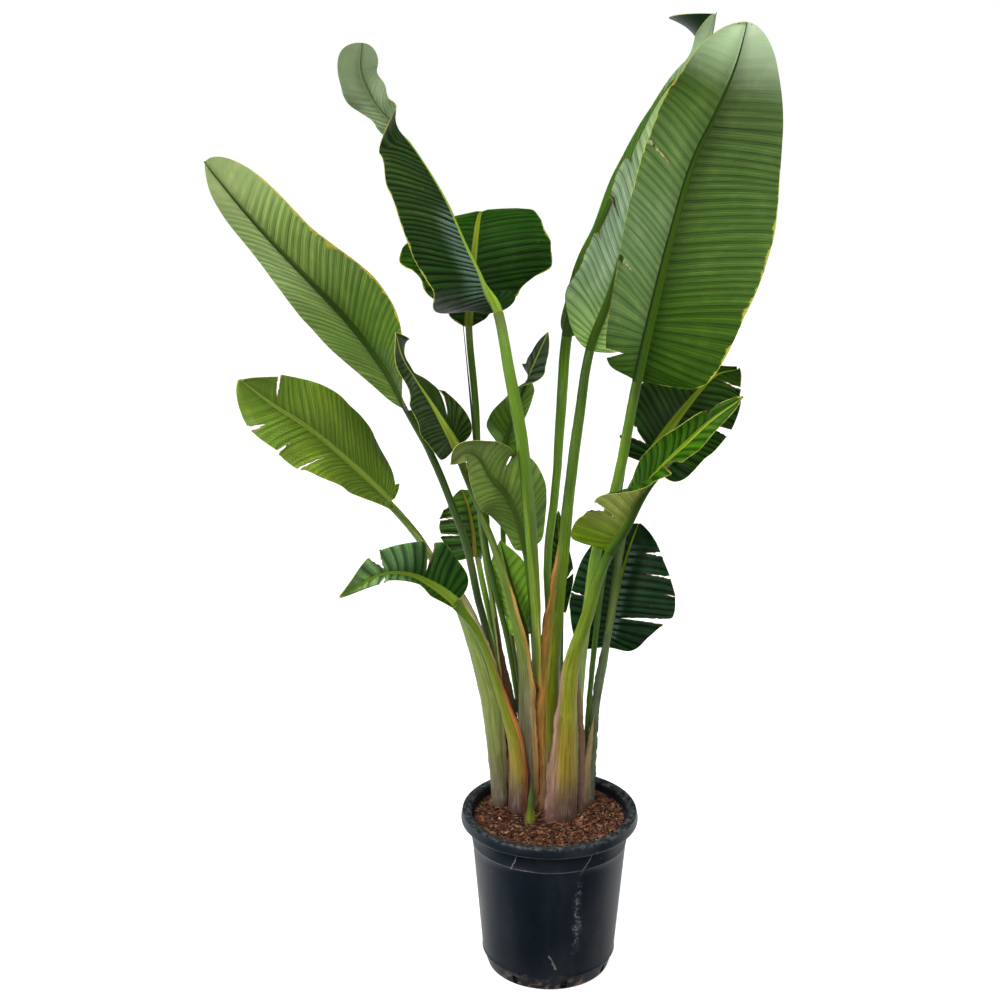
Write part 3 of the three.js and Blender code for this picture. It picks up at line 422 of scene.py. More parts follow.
LOOKS = {
    "leaf_upper_left": {
        "under_tones": [
            (0.065, 0.125, 0.012), (0.1, 0.175, 0.03), (0.165, 0.245, 0.075), (0.23, 0.31, 0.11),
        ],
        "under_left": [
            (0.035, 0.075, 0.004), (0.055, 0.115, 0.008), (0.12, 0.19, 0.035), (0.23, 0.31, 0.11),
        ],
        "rib_tones": [(0.2, 0.3, 0.03), (0.02, 0.045, 0.002)], "rib_sides": [0.7, 1.6], "flow": 0.015,
        "rim": [[0.4, 0.2], [0.0, 0.5, 4.5, 7.0, 2.6, 0.0]], "lines": [0.5, 1.22], "pleat": 0.8,
        "crest": 1.7, "pleat_length": 10.5, "rim_tone": (0.4, 0.34, 0.03),
        "stalk_tones": [(0.1, 0.1, 0.04), (0.05, 0.09, 0.02), (0.03, 0.08, 0.006)],
    },
    "leaf_top_left": {
        "upper_tones": [(0.006, 0.024, 0.003), (0.012, 0.032, 0.004), (0.017, 0.04, 0.008)],
        "under_tones": [(0.08, 0.14, 0.05), (0.12, 0.17, 0.08)],
        "rib_tones": [(0.26, 0.4, 0.03), (0.14, 0.18, 0.06)],
        "rim": [[0.3, 0.3], [1.0, 2.2, 1.8, 0.2, 0.0, 0.0]], "rim_tone": (0.36, 0.36, 0.06), "pleat": 1.5,
        "pleat_length": 8.0, "flow": 0.012, "lustre": [(-1, 0.0, 0.42, 46)], "lines": [0.4, 0.7],
        "stalk_tones": [(0.4, 0.36, 0.16), (0.17, 0.28, 0.02), (0.11, 0.24, 0.008), (0.13, 0.27, 0.03)],
        "margin_tone": (0.6, 0.45, 0.12),
    },
    "leaf_top_centre": {
        "upper_tones": [(0.007, 0.035, 0.001), (0.009, 0.04, 0.001), (0.025, 0.06, 0.004)],
        "rib_tones": [(0.15, 0.2, 0.008), (0.2, 0.28, 0.06)],
        "rim": [[2.6, 2.6, 1.6, 0.6], [2.6, 2.4, 1.0, 0.4]], "rim_tone": (0.36, 0.4, 0.03), "pleat": 1.3,
        "lines": [0.5, 0.6], "crest": 0.7, "pleat_length": 10.0, "flow": 0.02,
        "stalk_tones": [(0.25, 0.25, 0.06), (0.07, 0.15, 0.01), (0.05, 0.12, 0.008)],
    },
    "leaf_top_right": {
        # The last key of under_tones and of under_left is a painted highlight: the light on the tip's
        # underside where it curls up
        "under_tones": [
            (0.02, 0.055, 0.002), (0.065, 0.12, 0.03), (0.085, 0.145, 0.05), (0.065, 0.12, 0.028),
            (0.05, 0.1, 0.014), (0.5, 0.68, 0.38),
        ],
        "under_left": [
            (0.024, 0.07, 0.002), (0.036, 0.09, 0.005), (0.055, 0.115, 0.016), (0.06, 0.12, 0.022),
            (0.07, 0.125, 0.03), (0.54, 0.7, 0.42),
        ],
        "rib_tones": [(0.2, 0.3, 0.03), (0.03, 0.07, 0.003)], "rib_sides": [0.3, 1.8],
        "rim_tone": (0.42, 0.43, 0.06),
        "rim": [[0.4, 0.5, 0.6, 1.6, 2.2, 0.5], [2.0, 3.4, 3.6, 2.6, 0.6, 0.2]], "pleat": 1.3,
        "pleat_length": 11.5, "flow": 0.015,
        "stalk_tones": [(0.24, 0.25, 0.12), (0.2, 0.3, 0.06), (0.13, 0.25, 0.015), (0.07, 0.15, 0.006)],
        "wings": [(1, 195, [3, 4, 4, 2, 0, 0, 0, 0, 0])], "margin_tone": (0.5, 0.42, 0.08),
    },
    "leaf_top_back": {
        "under_tones": [(0.05, 0.13, 0.01), (0.07, 0.18, 0.015), (0.06, 0.15, 0.02), (0.3, 0.42, 0.24)],
        "upper_tones": [(0.012, 0.05, 0.01), (0.008, 0.03, 0.01)],
        "stalk_tones": [(0.2, 0.24, 0.05), (0.11, 0.22, 0.012), (0.1, 0.22, 0.008)],
    },
    "leaf_top_middle": {
        "under_tones": [(0.24, 0.41, 0.1), (0.38, 0.56, 0.33), (0.46, 0.66, 0.24)],
        "rim": [[0.8, 0.8], [0.6, 0.6]], "rim_tone": (0.14, 0.08, 0.03), "pleat": 1.5,
        "lines": [0.42, 0.45], "pleat_length": 13.0,
        "wings": [(1, 188, [8, 10, 13, 17, 15, 9, 1, 0, 0, 0, 0])],
        "stalk_tones": [
            (0.2, 0.17, 0.06), (0.16, 0.2, 0.008), (0.13, 0.22, 0.008), (0.09, 0.19, 0.008),
            (0.05, 0.12, 0.006),
        ],
        "margin_tone": (0.55, 0.24, 0.05),
    },
    "leaf_middle_left": {
        "upper_tones": [(0.1, 0.18, 0.014), (0.115, 0.19, 0.018), (0.1, 0.185, 0.014)],
        "rib_tones": [(0.22, 0.31, 0.04), (0.16, 0.24, 0.04)], "rim": [[0.6, 1.2, 1.2, 0.4], [0.4, 0.4]],
        "pleat": 0.7, "pleat_length": 9.0, "lines": [1.1, 0.7], "crest": 0.35,
        "wings": [(-1, 0, [0, 3, 5, 5, 4, 3, 0])],
        "stalk_tones": [(0.14, 0.13, 0.06), (0.19, 0.23, 0.05), (0.15, 0.23, 0.03), (0.11, 0.2, 0.025)],
        "margin_tone": (0.4, 0.36, 0.16),
    },
    "leaf_lower_left": {
        "upper_tones": [
            (0.008, 0.045, 0.001), (0.012, 0.055, 0.004), (0.085, 0.17, 0.06), (0.08, 0.16, 0.04),
        ],
        "wings": [(-1, 5, [3, 6, 7, 5, 2, 0, 0])], "lines": [0.6, 0.6],
        "stalk_tones": [
            (0.1, 0.055, 0.045), (0.26, 0.2, 0.02), (0.17, 0.22, 0.006), (0.13, 0.21, 0.006),
            (0.08, 0.17, 0.003),
        ],
        "margin_tone": (0.4, 0.12, 0.03),
    },
    "leaf_centre_left": {
        "upper_tones": [(0.014, 0.035, 0.002), (0.018, 0.04, 0.004), (0.02, 0.04, 0.008)],
        "wings": [(-1, 350, [5, 7, 6, 5, 3, 0, 0, 0])],
        "rib_tones": [(0.34, 0.44, 0.04), (0.16, 0.26, 0.03)], "pleat": 1.3, "pleat_length": 8.0,
        "stalk_tones": [
            (0.2, 0.12, 0.11), (0.26, 0.24, 0.12), (0.17, 0.25, 0.03), (0.11, 0.19, 0.02),
            (0.04, 0.09, 0.006),
        ],
        "margin_tone": (0.6, 0.3, 0.08),
    },
    "leaf_centre": {
        "under_tones": [(0.14, 0.27, 0.03), (0.17, 0.28, 0.045), (0.12, 0.17, 0.04)], "lines": [0.5, 0.8],
        "rib_tones": [(0.16, 0.24, 0.03), (0.1, 0.18, 0.015)],
    },
    "leaf_centre_back": {
        "under_tones": [(0.07, 0.17, 0.01), (0.1, 0.21, 0.015), (0.04, 0.075, 0.03)],
        "upper_tones": [(0.03, 0.05, 0.025), (0.035, 0.055, 0.03)],
    },
    "leaf_front_right": {
        "upper_tones": [(0.012, 0.045, 0.002), (0.028, 0.09, 0.002)],
        "wings": [(1, 190, [15, 13, 9, 4, 0, 0, 0])], "lines": [0.6, 1.25],
        "under_tones": [(0.09, 0.16, 0.001), (0.3, 0.36, 0.07), (0.31, 0.39, 0.08), (0.06, 0.14, 0.005)],
        "rib_tones": [(0.25, 0.36, 0.02), (0.04, 0.09, 0.003)], "pleat_length": 15.0,
        "stalk_tones": [
            (0.13, 0.07, 0.05), (0.26, 0.19, 0.012), (0.22, 0.24, 0.006), (0.12, 0.19, 0.004),
            (0.06, 0.14, 0.003),
        ],
        "margin_tone": (0.3, 0.165, 0.12),
    },
    "leaf_back_right": {
        "upper_tones": [(0.004, 0.018, 0.001), (0.007, 0.024, 0.001), (0.01, 0.028, 0.001)],
        "rib_tones": [(0.12, 0.18, 0.004), (0.1, 0.16, 0.02)], "pleat_length": 10.0, "pleat": 1.3,
        "stalk_tones": [(0.24, 0.22, 0.1), (0.12, 0.17, 0.05), (0.08, 0.14, 0.03), (0.05, 0.1, 0.01)],
    },
    "leaf_lower_right": {
        "upper_tones": [(0.005, 0.024, 0.006), (0.007, 0.028, 0.009), (0.005, 0.022, 0.006)],
        "lustre": [(1, 0.0, 0.85, 17)], "rib_tones": [(0.19, 0.25, 0.006), (0.1, 0.18, 0.03)],
        "pleat_length": 10.0, "pleat": 1.4,
    },
    "leaf_back_left": {
        "upper_tones": [(0.01, 0.036, 0.002), (0.024, 0.066, 0.004)],
        "rib_tones": [(0.16, 0.13, 0.01), (0.2, 0.16, 0.05)], "pleat": 1.3,
    },
    "leaf_centre_low": {
        "under_tones": [(0.17, 0.34, 0.025), (0.2, 0.4, 0.035)],
    },
    "leaf_back_low": {
        "upper_tones": [(0.02, 0.06, 0.003), (0.02, 0.06, 0.003)],
    },
    "spear_left": {
        "channel": 90, "widths": [3.5, 4.6, 0.6], "sheath": [0.4, 0.0, 0.0],
        "stalk_tones": [(0.1, 0.16, 0.02), (0.05, 0.11, 0.01), (0.015, 0.04, 0.006)],
        "margin_tone": (0.2, 0.25, 0.06),
    },
    "spear_right": {
        "channel": 90, "widths": [3.5, 4.4, 0.6],
        "stalk_tones": [(0.1, 0.16, 0.02), (0.05, 0.11, 0.01), (0.03, 0.08, 0.01)],
        "margin_tone": (0.2, 0.25, 0.06),
    },
    "young_shoot": {
        "old": 0.0, "stalk_tones": [(0.2, 0.24, 0.01), (0.05, 0.1, 0.01), (0.03, 0.06, 0.01)],
        "margin_tone": (0.1, 0.12, 0.03),
    },
}


def make_camera():
    """The camera that was fitted to the pot in the photograph."""
    data = bpy.data.cameras.new("camera")
    data.sensor_width = 36.0
    data.lens = CAMERA_LENS
    data.clip_start = 0.05
    camera = bpy.data.objects.new("camera", data)
    camera.location = CAMERA_PLACE
    camera.rotation_euler = (math.radians(90 - CAMERA_PITCH), 0, 0)
    bpy.context.scene.collection.objects.link(camera)
    bpy.context.scene.camera = camera


def unit(v):
    """Directions of length 1."""
    v = np.asarray(v, float)
    return v / np.maximum(np.linalg.norm(v, axis=-1, keepdims=True), 1e-9)


def eased(share):
    """A share from 0 to 1 that starts and ends gently."""
    share = np.clip(share, 0, 1)
    return share * share * (3 - 2 * share)


def keyed(x, values):
    """Eased value at x between keys spread evenly from 0 to 1. A key may be a colour."""
    values = np.asarray(values, float)
    place = np.clip(np.asarray(x, float), 0, 1) * (len(values) - 1)
    first = np.minimum(place.astype(int), len(values) - 2)
    share = eased(place - first)
    if values.ndim == 2:
        share = share[..., None]
    return values[first] * (1 - share) + values[first + 1] * share


def ripple(x, seed):
    """A smooth irregular wave of x, about -1 to 1, whose bumps are about 1 long."""
    phases = np.random.default_rng(seed).uniform(0, 2 * math.pi, 5)
    turns = (0.31, 0.53, 0.87, 1.31, 2.03)
    shares = (0.5, 0.6, 0.5, 0.3, 0.2)
    x = np.asarray(x, float)
    return sum(s * np.sin(2 * math.pi * t * x + p) for s, t, p in zip(shares, turns, phases)) / 1.2


def rough(x, y, seed):
    """A smooth irregular height over the plane, about -1 to 1, whose bumps are about 1 long."""
    rng = np.random.default_rng(seed)
    total = 0
    for turn, share in ((0.33, 0.5), (0.55, 0.5), (0.8, 0.45), (1.2, 0.3), (1.9, 0.2), (2.9, 0.12)):
        for _ in range(3):
            heading = rng.uniform(0, 2 * math.pi)
            along = x * math.cos(heading) + y * math.sin(heading)
            total = total + share * np.sin(2 * math.pi * turn * along + rng.uniform(0, 2 * math.pi)) / 1.7
    return total


class Line:
    """A centripetal Catmull-Rom curve, read by its share of length."""

    def __init__(self, points, samples=60):
        p = np.asarray(points, float)
        count = len(p)
        ends = np.concatenate([[2 * p[0] - p[1]], p, [2 * p[-1] - p[-2]]])
        parts = []
        for i in range(count - 1):
            p0, p1, p2, p3 = ends[i:i + 4]
            d0, d1, d2 = (np.linalg.norm(b - a) ** 0.5 for a, b in ((p0, p1), (p1, p2), (p2, p3)))
            t1 = ((p1 - p0) / d0 - (p2 - p0) / (d0 + d1) + (p2 - p1) / d1) * d1
            t2 = ((p2 - p1) / d1 - (p3 - p1) / (d1 + d2) + (p3 - p2) / d2) * d1
            w = np.linspace(0, 1, samples, endpoint=False)[:, None]
            cubic = 2 * p1 - 2 * p2 + t1 + t2
            square = -3 * p1 + 3 * p2 - 2 * t1 - t2
            parts.append(p1 + w * (t1 + w * (square + w * cubic)))
        self.points = np.concatenate([*parts, p[-1:]])
        steps = np.linalg.norm(np.diff(self.points, axis=0), axis=1)
        self.lengths = np.concatenate([[0], np.cumsum(steps)])
        self.total = self.lengths[-1]
        self.ways = np.gradient(self.points, self.lengths, axis=0)
        self.knots = self.lengths[::samples] / self.total

    def read(self, share, rows):
        s = np.clip(share, 0, 1) * self.total
        return np.stack([np.interp(s, self.lengths, rows[:, k]) for k in range(3)], -1)

    def at(self, share):
        return self.read(share, self.points)

    def tangent(self, share):
        return unit(self.read(share, unit(self.ways)))


def heading_of(degrees):
    """Level direction at an angle from the x axis."""
    angle = math.radians(degrees)
    return np.array([math.cos(angle), math.sin(angle), 0.0])


def across(tangent, reference, angle):
    """Direction of the upper side, square to the tangent, turned by an angle about it."""
    reference = np.broadcast_to(np.asarray(reference, float), tangent.shape)
    normal = unit(reference - tangent * np.sum(reference * tangent, -1, keepdims=True))
    side = np.cross(tangent, normal)
    angle = np.asarray(angle, float)[..., None]
    return normal * np.cos(angle) + side * np.sin(angle)


def faces_of(grid, closed=False):
    """Quads of a grid of vertex numbers, with rows joined round if closed."""
    if closed:
        grid = np.concatenate([grid, grid[:, :1]], 1)
    return np.stack([grid[:-1, :-1], grid[1:, :-1], grid[1:, 1:], grid[:-1, 1:]], -1).reshape(-1, 4)


def make_piece(name, points, faces, floats=None, colours=None, kinds=None, materials=(), sharp=None):
    """A mesh object from points in millimetres and quads whose repeated corners make them triangles.

    kinds holds each face's material number, and edges between faces whose sharp values differ stay sharp.
    """
    faces = np.asarray(faces, int)
    turned = np.roll(faces, -1, axis=1)
    keep = faces != turned
    sizes = keep.sum(1)
    good = sizes >= 3
    faces, keep, sizes = faces[good], keep[good], sizes[good]
    used, corners = np.unique(faces[keep], return_inverse=True)
    mesh = bpy.data.meshes.new(name)
    mesh.vertices.add(len(used))
    mesh.vertices.foreach_set("co", (points[used] * MM).astype(np.float32).ravel())
    mesh.loops.add(len(corners))
    mesh.loops.foreach_set("vertex_index", corners.astype(np.int32))
    mesh.polygons.add(len(sizes))
    starts = np.concatenate([[0], np.cumsum(sizes)[:-1]])
    mesh.polygons.foreach_set("loop_start", starts.astype(np.int32))
    mesh.polygons.foreach_set("loop_total", sizes.astype(np.int32))
    if kinds is not None:
        mesh.polygons.foreach_set("material_index", np.asarray(kinds)[good].astype(np.int32))
    mesh.update(calc_edges=True)
    if sharp is not None:
        edge_of = np.empty(len(corners), np.int32)
        mesh.loops.foreach_get("edge_index", edge_of)
        of_loop = np.repeat(np.asarray(sharp)[good].astype(float), sizes)
        count = np.maximum(np.bincount(edge_of, minlength=len(mesh.edges)), 1)
        mean = np.bincount(edge_of, of_loop, len(mesh.edges)) / count
        square = np.bincount(edge_of, of_loop**2, len(mesh.edges)) / count
        flags = square - mean**2 > 1e-6
        mesh.attributes.new("sharp_edge", "BOOLEAN", "EDGE").data.foreach_set("value", flags)
    for key, values in (floats or {}).items():
        layer = mesh.attributes.new(key, "FLOAT", "POINT")
        layer.data.foreach_set("value", np.asarray(values)[used].astype(np.float32))
    for key, values in (colours or {}).items():
        layer = mesh.attributes.new(key, "FLOAT_COLOR", "POINT")
        rgba = np.concatenate([np.asarray(values)[used], np.ones((len(used), 1))], 1)
        layer.data.foreach_set("color", rgba.astype(np.float32).ravel())
    piece = bpy.data.objects.new(name, mesh)
    bpy.context.scene.collection.objects.link(piece)
    for material in materials:
        mesh.materials.append(material)
    return piece


def seat(piece, slot, *nodes):
    """Puts a piece on the only body, in place of the nodes that it stands for. Its slot is not used."""
    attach(piece, "root")
    if nodes:
        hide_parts(*nodes)


def leaf_line(leaf):
    """A leaf's line from under the soil to its joint and on to its tip."""
    x, y = leaf["base"]
    start = [[x, y, SOIL_TOP - STALK_SINK], [x, y, SOIL_TOP]]
    line = Line([*start, *leaf["stalk"], *leaf["rib"]])
    line.joint = line.knots[2 + len(leaf["stalk"])]
    line.soil = line.knots[1]
    return line


def spear_line(spear):
    """A rolled young leaf's line, which is all stalk."""
    x, y, _ = spear["points"][0]
    line = Line([[x, y, SOIL_TOP - STALK_SINK], *spear["points"]])
    line.joint = 1.0
    line.soil = line.knots[1]
    return line


def blade_frame(leaf, line, x):
    """Place, line direction and upper side at x, from 0 at the joint to 1 at the tip, straight past both."""
    inside = np.clip(x, 0, 1)
    share = line.joint + (1 - line.joint) * inside
    tangent = line.tangent(share)
    point = line.at(share) + tangent * ((x - inside) * line.total * (1 - line.joint))[..., None]
    normal = across(tangent, UPPER_SIDE[leaf["upper"]], np.radians(keyed(inside, leaf["turn"])))
    return point, tangent, normal


def outline_width(shape, v):
    """Share of a half's full width at the vein v."""
    power = shape["base"] + (shape["tip"] - shape["base"]) * v
    round_part = np.maximum(np.sin(math.pi * np.clip(v, 0, 1) ** shape["peak"]), 0)
    return keyed(v, shape["trim"]) * round_part**power


def place_on_blade(leaf, line, x, y, half, sign):
    """Place of the flat leaf's point, x along the rib and y across, on the folded and drooping half."""
    point, tangent, normal = blade_frame(leaf, line, x)
    side = np.cross(tangent, normal)
    fold = np.radians(keyed(x, half["fold"]))
    bend = math.radians(EDGE_DROOP) / half["width"]
    out = (np.sin(fold + bend * y) - np.sin(fold)) / bend
    share = y / half["width"]
    height = leaf["wave"] * half["width"]
    wave = height * share**2 * np.sin(2 * math.pi * WAVES * x + sign)
    up = (np.cos(fold) - np.cos(fold + bend * y)) / bend + wave
    return point + side * (sign * out)[..., None] + normal * up[..., None], normal


def columns_of(leaf, shape, length):
    """Veins that carry the mesh's columns: evenly spaced on the ground, and one at each slit."""
    halves = leaf["right"], leaf["left"]
    v = np.linspace(0, 1, 4001)
    wide = max(half["width"] for half in halves)
    steps = np.hypot(length * np.diff(v), wide * np.diff(outline_width(shape, v)))
    s = np.concatenate([[0], np.cumsum(steps)])
    count = int(round(s[-1] / COLUMN_STEP))
    veins = np.interp(np.linspace(0, s[-1], count + 1), s, v)
    for half in halves:
        for place, _, _ in half["slits"]:
            veins[1 + np.argmin(abs(veins[1:-1] - place))] = place
    return np.sort(veins)


def rib_size(leaf, root):
    """Half width and height of the rib where the vein that starts at root leaves it."""
    return RIB_TIP + (leaf["widths"][2] - RIB_TIP) * np.maximum(1 - root, 0) ** 0.8


def strip_lift(slits, v, row):
    """Lift of the strips between a half's slits, alternately up and down."""
    if not slits:
        return 0 * v * row
    places, inner, _ = np.array(slits).T
    order = np.searchsorted(places, v, side="right")
    before = np.where(order > 0, inner[np.maximum(order - 1, 0)], 0)
    after = np.where(order < len(slits), inner[np.minimum(order, len(slits) - 1)], 0)
    start = np.maximum(before, after)
    share = np.clip((row - start) / (1 - start), 0, 1)
    return STRIP_LIFT * share**2 * np.where(order % 2, -1, 1)


def table_of(*facts):
    """A row for each point with its facts, in the order of FACTS."""
    return np.stack(np.broadcast_arrays(*facts), -1).reshape(-1, len(FACTS))


def half_grid(leaf, line, length, form, veins, half, sign, seed):
    """Points, numbers and facts of one half of a blade, from rib to margin, split along its slits."""
    steps = np.linspace(0, 1, int(np.clip(half["width"] / 5 + 6, 12, 24)))
    rows = steps - 0.06 * np.sin(2 * math.pi * steps)
    row = rows[:, None]
    slits = half["slits"]
    cuts = [0, *(int(np.argmin(abs(veins - slit[0]))) for slit in slits), len(veins) - 1]
    reach = 1 / min(max(round(length / COLUMN_LENGTH), 6), 14)
    points, ids, facts = [], [], []
    total = 0
    for k in range(len(cuts) - 1):
        v0 = veins[cuts[k]:cuts[k + 1] + 1][None, :]
        v = v0 + 0 * row
        gap = np.full(v.shape, FAR_AWAY)
        curl = 0
        for number, way in ((k - 1, 1), (k, -1)):
            if not 0 <= number < len(slits):
                continue
            place, inner, opening = slits[number]
            opened = np.clip((row - inner) / (1 - inner), 0, 1)
            away = abs(v0 - place)
            near = np.clip(1 - away / reach, 0, 1)
            ragged = ripple(row * half["width"] / 7, seed + 31 * number + way) * FRAY / length
            v = v + way * (opening / 2 * opened * near)
            v = v + ragged * np.sqrt(opened) * np.clip(1 - away * length / FRAY_REACH, 0, 1)
            before = np.clip(inner - row, 0, 1) * half["width"]
            gap = np.minimum(gap, np.hypot(before, away * length))
            bumps = ripple(row * 1.7 + number, seed + 7 * number + way)
            curl = curl + CURL * bumps * np.exp(-away * length / CURL_REACH) * opened
        v = np.clip(v, 0, 1)
        root = v ** form["sweep"]
        keel = rib_size(leaf, root)
        width = np.maximum(half["width"] * outline_width(form, v), keel)
        edge = v - form["lobe"] * np.sin(math.pi * np.minimum(v / LOBE_LENGTH, 1))
        x = root + (edge - root) * (1 - (1 - row) ** VEIN_CURVE)
        y = keel + (width - keel) * row
        point, normal = place_on_blade(leaf, line, x, y, half, sign)
        ground = v * length
        share = y / half["width"]
        bumps = ripple(ground / 80 + 0.15 * share, seed + 5)
        flow = half["width"] * share**2 * leaf["flow"] * bumps * eased((1 - v) / 0.15)
        fan = ground / leaf["pleat_length"] + 0.22 * ripple(ground / 40, seed + 3)
        pleats = 1 - 2 * np.abs(np.sin(math.pi * fan)) ** 0.7
        soft = eased(row / 0.12) * eased((1.05 - row) / 0.3) * np.minimum(width / 40, 1)
        soft = soft * (1 - 0.75 * eased((x - 0.75) / 0.2))
        up = strip_lift(slits, v0, row) + curl + flow - leaf["pleat"] * pleats * soft
        points.append((point + normal * up[..., None]).reshape(-1, 3))
        number = total + np.arange(v.size).reshape(v.shape)
        total += v.size
        if k > 0:
            joined = rows <= slits[k - 1][1] + 1e-6
            number[:, 0] = np.where(joined, ids[-1][:, -1], number[:, 0])
        if k == 0:
            number[:, 0] = number[0, 0]
        if k == len(cuts) - 2:
            number[:, -1] = number[0, -1]
        ids.append(number)
        facts.append(table_of(ground, y, y / keel, (1 - row) * (width - keel), gap, x, sign, fan))
    return np.concatenate(points), ids, np.concatenate(facts)


def kept_inside(p):
    """Points near the solid's own bounds, eased so that none passes them."""
    low, high = np.array(cad_box[0]) / MM, np.array(cad_box[1]) / MM
    for limit, way in ((high, 1), (low, -1)):
        over = way * (p - limit) + SOFT_EDGE + HALF_THICKNESS
        p = np.where(over > 0, p - way * (over - SOFT_EDGE * np.tanh(over / SOFT_EDGE)), p)
    return p


def thicken(leaf, root, centre, p, quads, keels):
    """Upper and lower points of the sheet, with a groove along its rib above and a round rib below."""
    area = np.cross(p[quads[:, 2]] - p[quads[:, 0]], p[quads[:, 3]] - p[quads[:, 1]])
    normals = np.zeros_like(p)
    for k in range(4):
        np.add.at(normals, quads[:, k], area)
    normals = unit(normals)
    top = p + normals * HALF_THICKNESS
    bottom = p - normals * HALF_THICKNESS
    ridge = rib_size(leaf, root)
    groove = 0.3 * ridge
    down = normals[:len(centre)]
    top[:len(centre)] = centre + down * (HALF_THICKNESS - groove)[:, None]
    bottom[:len(centre)] = centre - down * (HALF_THICKNESS + ridge)[:, None]
    for rib_ids, first in keels:
        arm = bottom[first] - centre
        toward = unit(arm)
        angle = np.arccos(np.clip(np.sum(-down * toward, 1), -1, 1))
        whole = np.maximum(np.sin(angle), 1e-3)
        for t, row in zip(RIB_ROWS, rib_ids):
            a = np.sin((1 - t) * angle) / whole
            b = np.sin(t * angle) / whole
            reach = (HALF_THICKNESS + ridge) * (1 - t) + np.linalg.norm(arm, axis=1) * t
            bottom[row] = centre + (-down * a[:, None] + toward * b[:, None]) * reach[:, None]
            top[row] = p[row] + down * (HALF_THICKNESS - groove * math.cos(math.pi * t / 2))[:, None]
    return np.concatenate([top, bottom])


def open_edges(quads, count):
    """Quads that join the margins of a sheet and of its underside, whose numbers are count higher."""
    edges = np.stack([quads, np.roll(quads, -1, 1)], -1).reshape(-1, 2)
    edges = edges[edges[:, 0] != edges[:, 1]]
    codes = edges[:, 0] * count + edges[:, 1]
    rim = edges[~np.isin(codes, edges[:, 1] * count + edges[:, 0])]
    return np.stack([rim[:, 0], count + rim[:, 0], count + rim[:, 1], rim[:, 1]], 1)


def blade_values(leaf, facts, seed):
    """Values and colours of a blade's points for its shaders, on the upper side and then below."""
    count = len(facts)
    values = {key: np.tile(facts[:, k], 2) for k, key in enumerate(FACTS) if key != "half"}
    x, half = facts[:, 5], facts[:, 6]
    right, left = (keyed(x, widths) for widths in leaf["rim"])
    values["rim_width"] = np.tile(np.where(half > 0, right, left), 2)
    lustre = np.zeros(count)
    for sign, low, high, width in leaf["lustre"]:
        stretch = eased((x - low) / 0.1) * eased((high - x) / 0.1)
        stretch = stretch * eased((width - facts[:, 1]) / (0.6 * width))
        lustre = np.where(half == sign, np.maximum(lustre, stretch), lustre)
    values["sheen"] = np.concatenate([lustre, 0 * lustre])
    values["line"] = np.repeat(leaf["lines"], [count, count])
    values["crest"] = np.full(2 * count, leaf["crest"])
    values["seed"] = np.full(2 * count, seed % 97)
    under_left = keyed(x, leaf.get("under_left", leaf["under_tones"]))
    under = np.where(facts[:, 6:7] < 0, under_left, keyed(x, leaf["under_tones"]))
    right, left = leaf["rib_sides"]
    rib_light = np.interp(half, [-1, 0, 1], [left, (right + left) / 2, right])
    rib_above, rib_below = leaf["rib_tones"]
    flanks = np.array(rib_below) * rib_light[:, None]
    colours = {
        "tone": np.concatenate([keyed(x, leaf["upper_tones"]), under]),
        "rib_tone": np.concatenate([np.tile(rib_above, (count, 1)), flanks]),
        "rim_tone": np.tile(leaf["rim_tone"], (2 * count, 1)),
    }
    return values, colours


def make_blade(leaf, line, seed):
    """A blade: its rib's line in the middle, and for each half a torn sheet and the rib's flank."""
    shape = {**OUTLINE, **leaf["outline"]}
    length = line.total * (1 - line.joint)
    veins = columns_of(leaf, shape, length)
    root = veins ** shape["sweep"]
    centre, _, _ = blade_frame(leaf, line, root)
    count = len(veins)
    points, quads, keels = [centre], [], []
    facts = [table_of(veins * length, 0, 0, FAR_AWAY, FAR_AWAY, root, 0, 0)]
    flank_rows = np.array(RIB_ROWS)[:, None]
    total = count
    for key, sign in (("right", 1), ("left", -1)):
        half = leaf[key]
        form = {**shape, **half.get("outline", {})}
        sheet, ids, sheet_facts = half_grid(leaf, line, length, form, veins, half, sign, seed + sign)
        first = np.concatenate([ids[0][0], *(number[0, 1:] for number in ids[1:])])
        arm = sheet[first] - centre
        out = flank_rows * np.linalg.norm(arm, axis=1)
        points += [sheet, (centre + arm * flank_rows[..., None]).reshape(-1, 3)]
        flank_facts = table_of(veins * length, out, flank_rows, FAR_AWAY, FAR_AWAY, root, sign, 0)
        facts += [sheet_facts, flank_facts]
        ids = [number + total for number in ids]
        first = first + total
        rib_ids = total + len(sheet) + np.arange(out.size).reshape(out.shape)
        total += len(sheet) + out.size
        for grid in (np.concatenate([np.arange(count)[None], rib_ids, first[None]]), *ids):
            woven = faces_of(grid)
            quads.append(woven if sign > 0 else woven[:, ::-1])
        keels.append((rib_ids, first))
    quads = np.concatenate(quads)
    points = thicken(leaf, root, centre, kept_inside(np.concatenate(points)), quads, keels)
    sides = open_edges(quads, total)
    sizes = [len(quads), len(quads), len(sides)]
    values, colours = blade_values(leaf, np.concatenate(facts), seed)
    piece = make_piece(
        leaf["name"] + "_blade_fine", points, np.concatenate([quads, total + quads[:, ::-1], sides]), values,
        colours, np.repeat([0, 1, 0], sizes), (LEAF_UPPER, LEAF_UNDER), np.repeat([0, 1, 2], sizes),
    )
    seat(piece, "leaf_blade", leaf["name"] + "_blade")


def stalk_values(shape, up, around, margin, inside, old, seed, height):
    """Values of a stalk's points for its shader: old is the share of old skin, which fades upward."""
    values = {
        "up": up, "around": 10 * around, "margin": margin, "inside": inside, "base": old, "seed": seed,
        "soil": height - SOIL_TOP,
    }
    return {key: np.broadcast_to(value, shape).astype(float).ravel() for key, value in values.items()}


